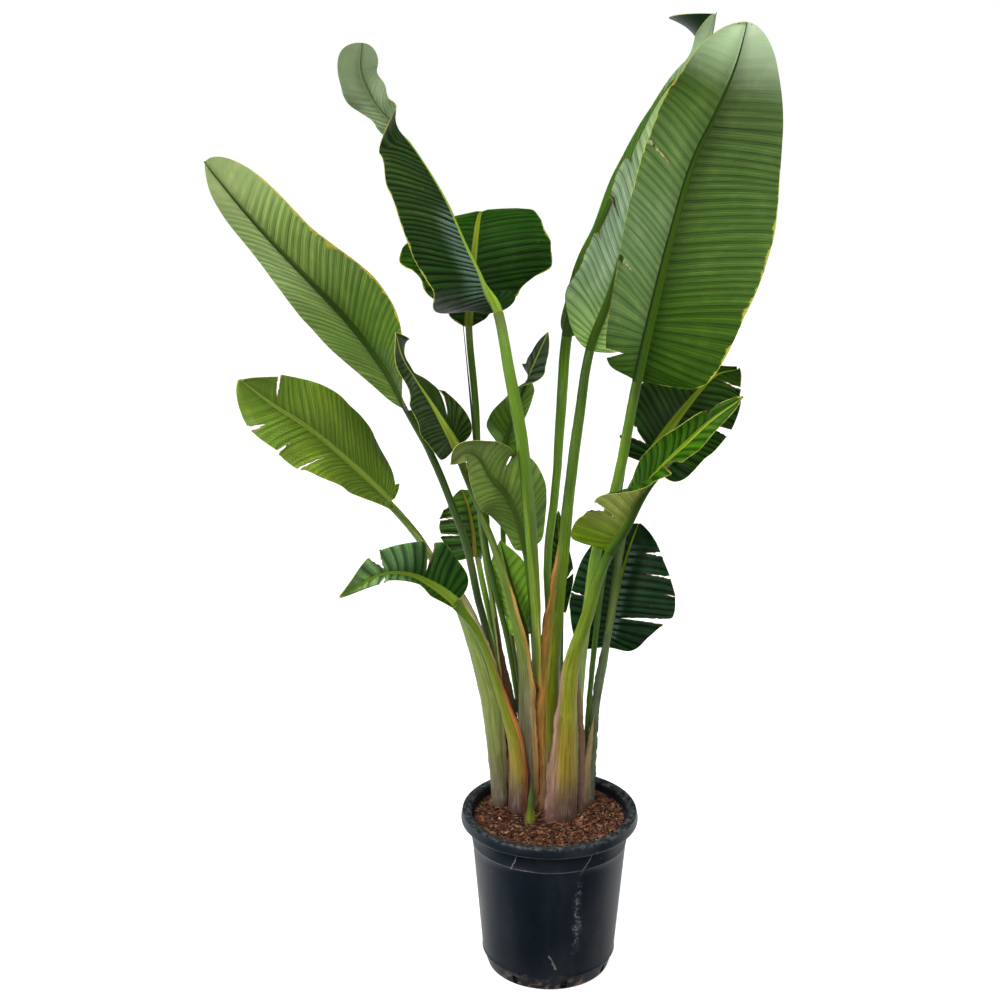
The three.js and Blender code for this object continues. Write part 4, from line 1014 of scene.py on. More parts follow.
def stalk_cap():
    """Triangles that close the ring of a stalk's end, between its lower and its upper arc."""
    arms = np.round(np.linspace(0, LOWER_POINTS - 1, UPPER_POINTS)).astype(int)
    upper = np.arange(LOWER_POINTS, LOWER_POINTS + UPPER_POINTS - 2)
    tops = [0, *upper[::-1], LOWER_POINTS - 1]
    cap = []
    for j in range(UPPER_POINTS - 1):
        for a in range(arms[j], arms[j + 1]):
            cap.append([a, a + 1, tops[j], tops[j]])
        cap.append([arms[j + 1], tops[j + 1], tops[j], tops[j]])
    return np.array(cap)


def make_stalk(leaf, line, seed):
    """A stalk from just under the soil to its joint: a clasping sheath below, closed and round above."""
    opened = "rib" in leaf
    start = line.soil * 0.35
    end = line.joint - (JOINT_GAP / line.total if opened else 0)
    count = int(np.clip((end - start) * line.total / STALK_STEP, 30, 110))
    share = np.linspace(start, end, count)
    along = np.clip((share - line.soil) / (line.joint - line.soil), 0, 1)
    tangent = line.tangent(share)
    width = keyed(along, leaf["widths"])[:, None]
    sheath = keyed(along, leaf.get("sheath", SHEATH))[:, None]
    flare = eased((along - 0.85) / 0.15)[:, None] * opened
    depth = width * (0.95 - 0.35 * sheath) + (0.05 * width + HALF_THICKNESS) * flare
    solid = 0.45 * width * (1 - flare) - 0.25 * width * flare
    crown = solid + (-(depth - np.maximum(0.28 * width, 4)) - solid) * sheath
    channel = heading_of(leaf["channel"])
    turn = 0.0
    if opened:
        _, joint_line, joint_upper = blade_frame(leaf, line, np.zeros(1))
        flat = across(joint_line, channel, np.zeros(1))
        turn = math.atan2(np.sum(joint_upper * np.cross(joint_line, flat)), np.sum(joint_upper * flat))
    normal = across(tangent, channel, turn * keyed(along, [0, 0, 0.3, 1]))
    side = np.cross(tangent, normal)
    lower = np.radians(np.linspace(-90, 90, LOWER_POINTS))
    upper = np.radians(np.linspace(90, -90, UPPER_POINTS)[1:-1])
    around = np.concatenate([lower, upper])
    below = np.arange(len(around)) < len(lower)
    rim = np.clip(1 - abs(abs(around) - math.pi / 2) / 0.6, 0, 1)
    ground = (share * line.total)[:, None]
    frill = sheath * rim * 0.9 * ripple(ground / 22 + np.where(np.sin(around) > 0, 7.0, 0), seed + 2)
    x = width * np.sin(around) + frill * np.sign(np.sin(around))
    fibre = 0.08 * np.sin(around * 23 + 0.8 * ripple(ground / 40, seed + 4)) * below
    y = np.where(below, -depth, crown) * np.cos(around) + fibre + 0.35 * ripple(ground / 60, seed + 6)
    point = line.at(share)[:, None] + side[:, None] * x[..., None] + normal[:, None] * y[..., None]
    edge = rim * np.clip(sheath * 1.4, 0, 1)
    for sign, heading, reach in leaf["wings"]:
        lobe = np.clip(1 - abs(around - sign * math.pi / 2) / 0.55, 0, 1) ** 1.3
        wide = keyed(along, reach)[:, None] * (1 + 0.12 * ripple(ground / 42, seed + 8 + sign))
        wide = wide + 0.25 * ripple(ground / 9, seed + sign)
        point = point + (lobe * wide)[..., None] * heading_of(heading)
        edge = np.maximum(edge, lobe * np.clip(wide / 4, 0, 1))
    number = np.arange(x.size).reshape(x.shape)
    shell = faces_of(number, closed=True)[:, ::-1]
    cap = stalk_cap()
    ends = np.concatenate([cap, (number[-1, 0] + cap)[:, ::-1]])
    tone = keyed(along, leaf["stalk_tones"])[:, None] + 0 * x[..., None]
    greener = 0.7 * eased((along - 0.93) / 0.07) * opened
    tone = tone + (np.array(leaf["rib_tones"][1]) - tone) * greener[:, None, None]
    old = leaf["old"] * (1 - eased((share - line.soil) * line.total / OLD_SKIN))[:, None]
    height = line.at(share)[:, 2][:, None]
    name = leaf["name"] + ("_stalk" if opened else "")
    piece = make_piece(
        name + "_fine", point.reshape(-1, 3), np.concatenate([shell, ends]),
        stalk_values(x.shape, ground, around, edge, ~below, old, seed % 97, height),
        {"tone": tone.reshape(-1, 3), "margin_tone": np.tile(leaf["margin_tone"], (x.size, 1))},
        None, (STALK,), np.repeat([0, 1], [len(shell), len(ends)]),
    )
    seat(piece, "stalk" if opened else "young_leaf", name)


# Dry strips of old sheaths between the stalks: path from the soil to the top, half widths along it, the way
# that they face in degrees, and their tone.
SCRAPS = [
    ([[-52, 12, 236], [-57, 22, 330], [-63, 30, 420], [-72, 38, 480], [-82, 44, 545]], [7, 9, 7, 4, 1], 265,
     (0.13, 0.055, 0.03)),
    ([[-44, 30, 236], [-50, 36, 320], [-58, 44, 400], [-70, 52, 480]], [9, 11, 8, 2], 280,
     (0.1, 0.09, 0.035)),
    ([[47, -4, 236], [48, -8, 300], [47, -9, 380], [42, -8, 440], [40, -4, 478]], [4, 5, 5, 4, 1], 285,
     (0.2, 0.105, 0.06)),
    ([[52, 14, 236], [56, 18, 300], [62, 24, 350], [67, 30, 392]], [6, 7, 5, 1], 275, (0.3, 0.22, 0.09)),
    ([[62, 30, 236], [65, 34, 330], [72, 40, 430], [84, 48, 520]], [8, 8, 6, 2], 270, (0.12, 0.16, 0.08)),
    ([[-2, 4, 236], [-1, 2, 290], [-4, 6, 350]], [5, 5, 1], 250, (0.26, 0.17, 0.13)),
    ([[-76, 60, 236], [-78, 62, 300], [-84, 62, 360]], [8, 7, 1], 120, (0.16, 0.1, 0.06)),
    ([[20, 88, 236], [22, 92, 310], [28, 98, 390]], [9, 8, 1], 80, (0.2, 0.13, 0.07)),
]


def make_scrap(number, path, widths, heading, tone):
    """A papery strip, hollow toward the way it faces, with a ragged margin and a torn top."""
    line = Line(path)
    share = np.linspace(0, 1, 70)
    cross = np.linspace(-1, 1, 9)
    normal = across(line.tangent(share), heading_of(heading), 0 * share)
    side = np.cross(line.tangent(share), normal)
    ground = (share * line.total)[:, None]
    half = keyed(share, widths)[:, None]
    reach = half * (cross + 0.12 * abs(cross) ** 3 * ripple(ground / 13, number))
    curl = -0.35 * half * cross**2 + 0.9 * ripple(ground / 30, number + 50) * cross
    middle = line.at(share)[:, None] + side[:, None] * reach[..., None] + normal[:, None] * curl[..., None]
    top, bottom = middle + SCRAP_HALF * normal[:, None], middle - SCRAP_HALF * normal[:, None]
    grid = np.arange(reach.size).reshape(reach.shape)
    rim = np.concatenate([grid[0, :-1], grid[:-1, -1], grid[-1, :0:-1], grid[:0:-1, 0]])
    ahead = np.roll(rim, -1)
    sides = np.stack([rim, ahead, ahead + grid.size, rim + grid.size], 1)
    sheet, back = faces_of(grid), faces_of(grid + grid.size)
    edge = 0.55 * abs(cross) ** 2 + 0.25 * ripple(ground / 25, number + 9)
    old = 1 - eased(ground / OLD_SKIN)
    values = stalk_values(reach.shape, ground, cross, edge, 0, old, number, middle[..., 2])
    tones = np.tile(tone, (2 * grid.size, 1))
    piece = make_piece(
        "old_sheath_%d" % number, np.concatenate([top.reshape(-1, 3), bottom.reshape(-1, 3)]),
        np.concatenate([sheet, back[:, ::-1], sides[:, ::-1]]),
        {key: np.tile(value, 2) for key, value in values.items()},
        {"tone": tones, "margin_tone": tones * 0.55},
        None, (STALK,), np.repeat([0, 1, 2], [len(sheet), len(back), len(sides)]),
    )
    seat(piece, "stalk")


def wall_radius(z):
    """Outer radius of the pot's straight wall."""
    return BEAD_RADIUS + (WALL_TOP_RADIUS - BEAD_RADIUS) * (z - BEAD_HEIGHT) / (WALL_TOP - BEAD_HEIGHT)


def pot_profile():
    """The pot's section as radius and height, from the foot up the outside and down the inside."""
    ring = ((-2, 0), (-1, 0.7), (0.2, 0.8), (1.2, 0))
    wall = [(wall_radius(z), z) for z in np.linspace(30, 233, 12) if abs(z - RING_HEIGHT) > 9]
    wall += [(wall_radius(RING_HEIGHT + d) + h, RING_HEIGHT + d) for d, h in ring]
    inner_top = wall_radius(POT_HEIGHT) - WALL - 1
    inner_foot = wall_radius(FLOOR) - WALL - 4
    foot = [(-22, 0), (-1.4, 0), (-0.3, 0.5), (0.2, 1.6), (3.4, 12)]
    bead = [(-1.3, -3), (-0.8, -2), (0.5, -1), (0.9, 0), (0.6, 1.4), (0, 3)]
    ledge = [(-0.1, -2), (0.6, -0.6), (2, 0)]
    lip = [(-3, -3.3), (-1.2, -3), (-0.3, -2), (0, 0), (-0.3, 3)]
    rim = [(0.3, -3.5), (0, -1.7), (-0.7, -0.5), (-2, 0), (-6.5, -0.2), (-11, -0.4), (-12.6, -1.2)]
    bands = [
        (FOOT_RADIUS, 0, foot), (BEAD_RADIUS, BEAD_HEIGHT, bead), (0, 0, sorted(wall, key=lambda p: p[1])),
        (WALL_TOP_RADIUS, WALL_TOP, ledge), (LIP_RADIUS, LIP_BOTTOM, lip), (RIM_RADIUS, POT_HEIGHT, rim),
    ]
    inside = [
        (inner_top + 0.5, POT_HEIGHT - 3), (inner_top, POT_HEIGHT - 5), (inner_top - 4, POT_HEIGHT - 50),
        (inner_foot + 5, FLOOR + 60), (inner_foot, FLOOR), (0, FLOOR),
    ]
    outside = [(radius + out, height + up) for radius, height, band in bands for out, up in band]
    return np.array([(0, 0), *outside, *inside], float)


def lathe(name, profile, sides, material):
    """A turned piece from its profile, whose points on the axis are single."""
    angle = np.linspace(0, 2 * math.pi, sides, endpoint=False)
    radius, height = profile[:, :1], profile[:, 1:]
    points = np.stack([radius * np.cos(angle), radius * np.sin(angle), height + 0 * angle], -1)
    number = np.arange(radius.size * sides).reshape(-1, sides)
    for row, (r, _) in zip(number, profile):
        if r == 0:
            row[:] = row[0]
    faces = faces_of(number, closed=True)[:, ::-1]
    return make_piece(name, points.reshape(-1, 3), faces, materials=(material,))


def drain_cutters():
    """One block for each drain slot, run outward through the foot of the wall."""
    outline = [
        (-4.5, 1), (4.5, 1), (4.5, 13.5), (3.9, 15.5), (2.4, 16.8), (0, 17.2), (-2.4, 16.8), (-3.9, 15.5),
        (-4.5, 13.5),
    ]
    count = len(outline)
    corners, polygons = [], []
    for k in range(DRAINS):
        turn = 2 * math.pi / DRAINS * (k + DRAIN_TURN)
        c, s = math.cos(turn), math.sin(turn)
        near = len(corners)
        far = near + count
        for r in DRAIN_REACH:
            corners += [((r * c - a * s) * MM, (r * s + a * c) * MM, z * MM) for a, z in outline]
        polygons.append([near + j for j in range(count)][::-1])
        polygons.append([far + j for j in range(count)])
        for j in range(count):
            following = (j + 1) % count
            polygons.append([near + j, near + following, far + following, far + j])
    mesh = bpy.data.meshes.new("drain_cutters")
    mesh.from_pydata(corners, [], polygons)
    cutter = bpy.data.objects.new("drain_cutters", mesh)
    bpy.context.scene.collection.objects.link(cutter)
    return cutter


def make_pot():
    """The nursery pot, turned in one piece, with its drain slots cut."""
    pot = lathe("nursery_pot", pot_profile(), POT_SIDES, POT)
    cutter = drain_cutters()
    cut = pot.modifiers.new("drains", "BOOLEAN")
    cut.operation = "DIFFERENCE"
    cut.solver = "EXACT"
    cut.object = cutter
    bpy.context.view_layer.update()
    shaped = bpy.data.meshes.new_from_object(pot.evaluated_get(bpy.context.evaluated_depsgraph_get()))
    pot.modifiers.clear()
    spare = (pot.data, cutter.data)
    pot.data = shaped
    bpy.data.objects.remove(cutter)
    for mesh in spare:
        bpy.data.meshes.remove(mesh)
    shaped.shade_smooth()
    shaped.set_sharp_from_angle(angle=math.radians(SHARP_ANGLE))
    seat(pot, "pot_plastic", "pot")


def soil_height(x, y):
    """The soil's surface: crowned in the middle, with low mounds and a crumbly grain."""
    away = np.hypot(x, y) / 116
    crown = SOIL_TOP - 2.5 + 4.5 * (1 - away**2)
    return crown + 1.6 * rough(x / 38, y / 38, 5) + 0.9 * rough(x / 9, y / 9, 6)


def make_soil():
    """The soil's surface, and its plain sides and bottom inside the pot."""
    reach = wall_radius(SOIL_TOP) - WALL - 1.4
    foot = wall_radius(FLOOR) - WALL - 5
    bottom = FLOOR + 0.4
    angle = np.linspace(0, 2 * math.pi, SOIL_SIDES, endpoint=False)
    rings = np.linspace(0, reach, SOIL_RINGS)[:, None]
    x, y = rings * np.cos(angle), rings * np.sin(angle)
    low = [(reach - 1, SOIL_TOP - 12), (reach - 6, 160), (foot + 4, 60), (foot, bottom), (0, bottom)]
    radius, height = np.array(low).T[..., None]
    radius = radius + np.where(radius > 0, 0.3, 0) * rough(angle * 14, angle * 0, 9)
    surface = np.stack([x, y, soil_height(x, y)], -1)
    sides = np.stack([radius * np.cos(angle), radius * np.sin(angle), height + 0 * angle], -1)
    points = np.concatenate([surface, sides])
    number = np.arange(points[..., 0].size).reshape(points.shape[:2])
    number[0] = number[0, 0]
    number[-1] = number[-1, 0]
    faces = faces_of(number, closed=True)
    piece = make_piece("potting_soil", points.reshape(-1, 3), faces, materials=(SOIL,))
    seat(piece, "potting_mix", "soil")


def chip_cloud(name, places, sizes, tones, seed):
    """Bark and coir chips: short splinters of four rough rings each, laid flat or tipped."""
    rng = np.random.default_rng(seed)
    count = len(places)
    each = (count, CHIP_RINGS, CHIP_SIDES)
    t = np.linspace(-1, 1, CHIP_RINGS)[:, None]
    fat = np.array([0.45, 1.0, 0.9, 0.4])[:, None]
    angle = np.linspace(0, 2 * math.pi, CHIP_SIDES, endpoint=False)
    wild = rng.uniform(0.65, 1.3, each)
    x = t * (1 + 0.25 * rng.uniform(-1, 1, each))
    y = fat * np.cos(angle) * wild + 0.25 * rng.uniform(-1, 1, (count, 1, 1)) * t**2
    z = fat * np.sin(angle) * wild
    x, y, z = (way * size[:, None, None] for way, size in zip((x, y, z), sizes.T))
    yaw = rng.uniform(0, 2 * math.pi, count)
    pitch = rng.normal(0, 0.28, count)
    roll = rng.uniform(-0.6, 0.6, count)
    pitch = np.where(rng.uniform(0, 1, count) < TIPPED_SHARE, rng.uniform(-1.1, 1.1, count), pitch)
    cr, sr, cp, sp, cy, sy = (f(a)[:, None, None] for a in (roll, pitch, yaw) for f in (np.cos, np.sin))
    y, z = y * cr - z * sr, y * sr + z * cr
    x, z = x * cp - z * sp, x * sp + z * cp
    x, y = x * cy - y * sy, x * sy + y * cy
    points = np.stack([x, y, z], -1) + places[:, None, None, :]
    ring = CHIP_RINGS * CHIP_SIDES
    body = faces_of(np.arange(ring).reshape(CHIP_RINGS, CHIP_SIDES), closed=True)[:, ::-1]
    caps = np.array([[0, 1, 2, 5], [2, 3, 4, 5], [18, 23, 20, 19], [20, 23, 22, 21]])
    one = np.concatenate([body, caps])
    faces = (one[None] + (np.arange(count) * ring)[:, None, None]).reshape(-1, 4)
    piece = make_piece(
        name, points.reshape(-1, 3), faces, {"seed": np.repeat(rng.uniform(0, 50, count), ring)},
        {"tone": np.repeat(tones, ring, axis=0)}, materials=(BARK,), sharp=np.arange(len(faces)) % 2,
    )
    seat(piece, "potting_mix")


def scatter(rng, count, reach, least):
    """Random places on a disc: radius, x and y. least is the share of its area that stays free."""
    radius = reach * np.sqrt(rng.uniform(least, 1, count))
    angle = rng.uniform(0, 2 * math.pi, count)
    return radius, radius * np.cos(angle), radius * np.sin(angle)


def make_chips():
    """Bark chips all over the soil, and finer crumbs toward the wall, of which some are pale."""
    rng = np.random.default_rng(11)
    wall = wall_radius(SOIL_TOP) - WALL
    radius, x, y = scatter(rng, CHIPS, wall - 5, 0)
    long = np.exp(rng.normal(math.log(2.5), 0.45, CHIPS)).clip(1.1, 8.0)
    wide = long * rng.uniform(0.2, 0.6, CHIPS)
    thick = np.clip(long * rng.uniform(0.14, 0.4, CHIPS), 0.45, 2.2)
    z = soil_height(x, y) + rng.uniform(-0.2, 1.6, CHIPS) + 0.2 * thick
    picks = rng.choice(len(CHIP_TONES), CHIPS, p=CHIP_SHARES)
    tones = np.array(CHIP_TONES)[picks] * rng.uniform(0.4, 1.45, (CHIPS, 1)) * CHIP_TINT
    keep = radius + long < wall - 2
    places, sizes = np.stack([x, y, z], 1), np.stack([long, wide, thick], 1)
    chip_cloud("soil_chips", places[keep], sizes[keep], tones[keep], 12)
    _, x, y = scatter(rng, CRUMBS, wall - 3.5, 0.55)
    sizes = rng.uniform(0.7, 1.6, (CRUMBS, 1)) * CRUMB_FORM
    z = soil_height(x, y) + rng.uniform(0.2, 1.6, CRUMBS)
    pale = rng.uniform(0, 1, (CRUMBS, 1)) < PALE_SHARE
    tones = np.where(pale, PALE_CRUMB_TONE, CRUMB_TONE) * rng.uniform(0.6, 1.2, (CRUMBS, 1))
    chip_cloud("soil_crumbs", np.stack([x, y, z], 1), sizes, tones, 14)


class Value:
    """An output of a shader's tree. Arithmetic on it makes one math node for each sign."""

    def __init__(self, shader, socket):
        self.shader, self.socket = shader, socket

    def __add__(self, other):
        return self.shader.math("ADD", self, other)

    def __sub__(self, other):
        return self.shader.math("SUBTRACT", self, other)

    def __rsub__(self, other):
        return self.shader.math("SUBTRACT", other, self)

    def __mul__(self, other):
        return self.shader.math("MULTIPLY", self, other)

    def __truediv__(self, other):
        return self.shader.math("DIVIDE", self, other)

    def __lt__(self, other):
        return self.shader.math("LESS_THAN", self, other)

    def __gt__(self, other):
        return self.shader.math("GREATER_THAN", self, other)

    def __abs__(self):
        return self.shader.math("ABSOLUTE", self)


class Shader:
    """A procedural material built node by node. Each helper gives the new node's output."""

    def __init__(self, name):
        self.material = bpy.data.materials.new(name)
        self.material.use_nodes = True
        self.tree = self.material.node_tree
        self.tree.nodes.clear()
        output = self.tree.nodes.new("ShaderNodeOutputMaterial")
        self.surface = self.tree.nodes.new("ShaderNodeBsdfPrincipled")
        self.tree.links.new(self.surface.outputs[0], output.inputs[0])

    def node(self, kind, **settings):
        node = self.tree.nodes.new("ShaderNode" + kind)
        for key, setting in settings.items():
            setattr(node, key, setting)
        return node

    def fill(self, sockets, values):
        """Links each output to its socket, and sets the others to their number or colour."""
        for socket, value in zip(sockets, values):
            if isinstance(value, Value):
                self.tree.links.new(value.socket, socket)
            elif socket.type == "RGBA" and len(value) == 3:
                socket.default_value = (*value, 1)
            else:
                socket.default_value = value

    def set(self, name, value):
        self.fill([self.surface.inputs[name]], [value])

    def number(self, name):
        return Value(self, self.node("Attribute", attribute_name=name).outputs["Fac"])

    def numbers(self, names):
        return [self.number(name) for name in names.split()]

    def colour(self, name):
        return Value(self, self.node("Attribute", attribute_name=name).outputs["Color"])

    def ray(self, kind):
        return Value(self, self.node("LightPath").outputs[kind])

    def place(self):
        return Value(self, self.node("TexCoord").outputs["Object"])

    def split(self, vector):
        node = self.node("SeparateXYZ")
        self.fill(node.inputs, [vector])
        return [Value(self, output) for output in node.outputs]

    def math(self, operation, *values, clamp=False):
        node = self.node("Math", operation=operation, use_clamp=clamp)
        self.fill(node.inputs, values)
        return Value(self, node.outputs[0])

    def ease(self, value, low, high, to_low=0.0, to_high=1.0):
        node = self.node("MapRange", interpolation_type="SMOOTHSTEP")
        self.fill(node.inputs, (value, low, high, to_low, to_high))
        return Value(self, node.outputs[0])

    def vector(self, x, y, z):
        node = self.node("CombineXYZ")
        self.fill(node.inputs, (x, y, z))
        return Value(self, node.outputs[0])

    def stretch(self, vector, x, y, z):
        node = self.node("VectorMath", operation="MULTIPLY")
        self.fill(node.inputs, (vector, (x, y, z)))
        return Value(self, node.outputs[0])

    def noise(self, vector, scale=1.0, detail=3.0, roughness=0.5):
        node = self.node("TexNoise")
        sockets = [node.inputs[key] for key in ("Vector", "Scale", "Detail", "Roughness")]
        self.fill(sockets, (vector, scale, detail, roughness))
        return Value(self, node.outputs[0])

    def cells(self, vector, scale=1.0):
        node = self.node("TexVoronoi")
        self.fill([node.inputs["Vector"], node.inputs["Scale"]], (vector, scale))
        return Value(self, node.outputs["Distance"])

    def mix(self, share, a, b, blend="MIX"):
        node = self.node("Mix", data_type="RGBA", blend_type=blend)
        self.fill([node.inputs[0], node.inputs[6], node.inputs[7]], (share, a, b))
        return Value(self, node.outputs[2])

    def tint(self, colour, by):
        return self.mix(1.0, colour, by, "MULTIPLY")

    def shade(self, colour, light):
        return self.tint(colour, self.vector(light, light, light))

    def bump(self, height, distance, strength):
        node = self.node("Bump")
        sockets = [node.inputs[key] for key in ("Height", "Distance", "Strength")]
        self.fill(sockets, (height, distance, strength))
        self.tree.links.new(node.outputs[0], self.surface.inputs["Normal"])


def leaf_shader(name, streak_light, crest_rise, patch_tint, rib_reach, rib_light, gloss, specular):
    """One side of a blade: vein lines with painted shade and light on its pleats, a rib band, a worn margin,
    torn edges, spots and a painted sheen.
    """
    s = Shader(name)
    vein, out, ribs, edge, gap, rim_width = s.numbers("vein out ribs edge gap rim_width")
    seed, fan, line_light, sheen, along, crest = s.numbers("seed fan line sheen along crest")
    fine = s.noise(s.vector(vein * 0.42, out * 0.012, seed), 1.0, 3.0, 0.6)
    broad = s.noise(s.vector(fan * 1.6, out * 0.008, seed), 1.0, 2.0, 0.6)
    cloud = s.noise(s.vector(vein * 0.025, out * 0.025, seed), 1.0, 4.0, 0.6)
    wave = abs(s.math("SINE", fan * math.pi))
    twin = abs(s.math("SINE", fan * (4 * math.pi)))
    # The vein lines are partly the veins' own colour and partly painted shade along the pleats, and crest
    # paints light on the pleats' ridges
    lines = s.ease(wave, 0.02, 0.26, line_light, 1.0) * (s.ease(wave, *crest_rise) * crest + 1.0)
    lines = lines + s.ease(along, 0.78, 0.96) * (1.0 - lines)
    streak = s.ease(fine * 0.8 + broad * 0.2, 0.3, 0.7, *streak_light)
    light = streak * lines * s.ease(twin, 0.0, 0.5, 0.8, 1.06)
    light = light + s.ease(along, 0.74, 0.92, 0.0, 0.85) * (1.0 - light)
    base = s.shade(s.colour("tone"), light)
    base = s.mix(s.ease(cloud, 0.45, 0.72, 0.0, 0.7), base, s.tint(base, patch_tint))
    base = s.shade(base, s.ease(out / (out + edge + 0.5), 0.0, 0.4, 0.72, 1.0))
    band = ribs / s.ease(along, 0.0, 1.0, *rib_reach) + s.ease(fine, 0.2, 0.8, -0.08, 0.08)
    rib = s.shade(s.colour("rib_tone"), s.ease(ribs, *rib_light))
    base = s.mix(s.ease(band, 0.8, 1.1, 1.0, 0.0), base, rib)
    worn = rim_width * s.ease(s.noise(s.vector(vein * 0.05, 0.0, seed), 1.0, 4.0, 0.65), 0.38, 0.7, 0.0, 2.2)
    rim = s.ease(edge / (worn + 0.05), 0.4, 1.1, 1.0, 0.0) * (rim_width > 0.01)
    base = s.mix(rim, base, s.colour("rim_tone"))
    # A painted sheen: pale streaks of reflection painted into the colour along the pleats, where the lustre
    # lies
    glint = s.ease(wave * 0.45 + fine * 0.75, 0.45, 0.9, 0.0, 0.7)
    base = s.mix(sheen * glint, base, PAINTED_SHEEN_TONE)
    base = s.mix(s.ease(edge, 0.3, 2.2, 1.0, 0.0) * s.ease(cloud, 0.6, 0.68), base, SCORCHED_TONE)
    base = s.mix(s.ease(gap + s.ease(fine, 0.2, 0.8, -0.9, 0.9), 0.2, 1.5, 0.85, 0.0), base, DRY_TONE)
    spots = s.cells(s.vector(vein * 0.03, out * 0.03, seed * 1.7))
    base = s.mix(s.ease(spots, 0.02, 0.05, 0.8, 0.0), base, SPOT_TONE)
    s.set("Base Color", base)
    wear = s.noise(s.place(), 45.0, 4.0, 0.6)
    s.set("Roughness", s.ease(wear, 0.3, 0.7, *gloss) * s.ease(sheen, 0.0, 1.0, 1.0, 0.6))
    s.set("Specular IOR Level", specular)
    grain = s.noise(s.place(), 900.0, 2.0)
    height = (fine * 0.8 + twin * 0.5 + grain * 0.2) * s.ease(along, 0.66, 0.88, 1.0, 0.08)
    s.bump(height, 0.0011, 0.7)
    return s.material


def stalk_shader():
    """A fibrous stalk, warm and torn at its sheath's margin, with old skin and soil near its foot."""
    s = Shader("stalk")
    up, around, margin, foot_share, seed, soil, inside = s.numbers("up around margin base seed soil inside")
    tone = s.colour("tone")
    fibre = s.noise(s.vector(around * 0.8, up * 0.012, seed), 1.0, 3.0, 0.6)
    blotch = s.noise(s.vector(around * 0.12, up * 0.03, seed), 1.0, 4.0, 0.6)
    base = s.shade(tone, s.ease(fibre, 0.3, 0.7, 0.66, 1.32))
    base = s.mix(s.ease(blotch, 0.52, 0.72, 0.0, 0.6), base, s.tint(tone, (1.5, 1.45, 1.5)))
    base = s.mix(inside * 0.35, base, s.tint(tone, (1.35, 1.1, 0.9)))
    margin_tone = s.shade(s.colour("margin_tone"), s.ease(fibre, 0.3, 0.7, 0.55, 1.45))
    frayed = margin + s.ease(fibre, 0.2, 0.8, -0.16, 0.16)
    base = s.mix(s.ease(frayed, 0.02, 0.5, 0.0, 0.6), base, margin_tone)
    base = s.mix(s.ease(frayed, 0.4, 0.8), base, margin_tone)
    base = s.mix(s.ease(margin + s.ease(blotch, 0.2, 0.8, -0.3, 0.3), 0.9, 1.15), base, CRISP_TONE)
    old_skin = s.mix(s.ease(blotch, 0.36, 0.62), PALE_SKIN_TONE, DARK_SKIN_TONE)
    base = s.mix(foot_share * s.ease(fibre, 0.36, 0.62, 0.1, 0.85), base, old_skin)
    splash = s.ease(soil + s.ease(blotch, 0.25, 0.75, -9.0, 9.0), 2.0, 16.0, 0.85, 0.0)
    base = s.mix(splash, base, SPLASH_TONE)
    scars = s.cells(s.vector(around * 0.16, up * 0.022, seed))
    base = s.mix(s.ease(scars, 0.03, 0.09, 0.7, 0.0), base, SCAR_TONE)
    s.set("Base Color", base)
    s.set("Roughness", s.ease(blotch, 0.3, 0.7, 0.28, 0.5))
    s.set("Specular IOR Level", 0.6)
    grain = s.noise(s.place(), 700.0, 2.0)
    s.bump(fibre + grain * 0.25, 0.0011, 0.7)
    return s.material


def scratch(s, x, z, start, end, width, wobble):
    """Share of a scratch on the pot's front wall, from start to end, each an x and a z."""
    run, rise = end[0] - start[0], end[1] - start[1]
    square = run**2 + rise**2
    right = x - start[0] + wobble
    over = z - start[1]
    share = s.math("ADD", right * (run / square), over * (rise / square), clamp=True)
    right = right - share * run
    over = over - share * rise
    return s.ease(s.math("SQRT", right * right + over * over), width * 0.4, width, 1.0, 0.0)


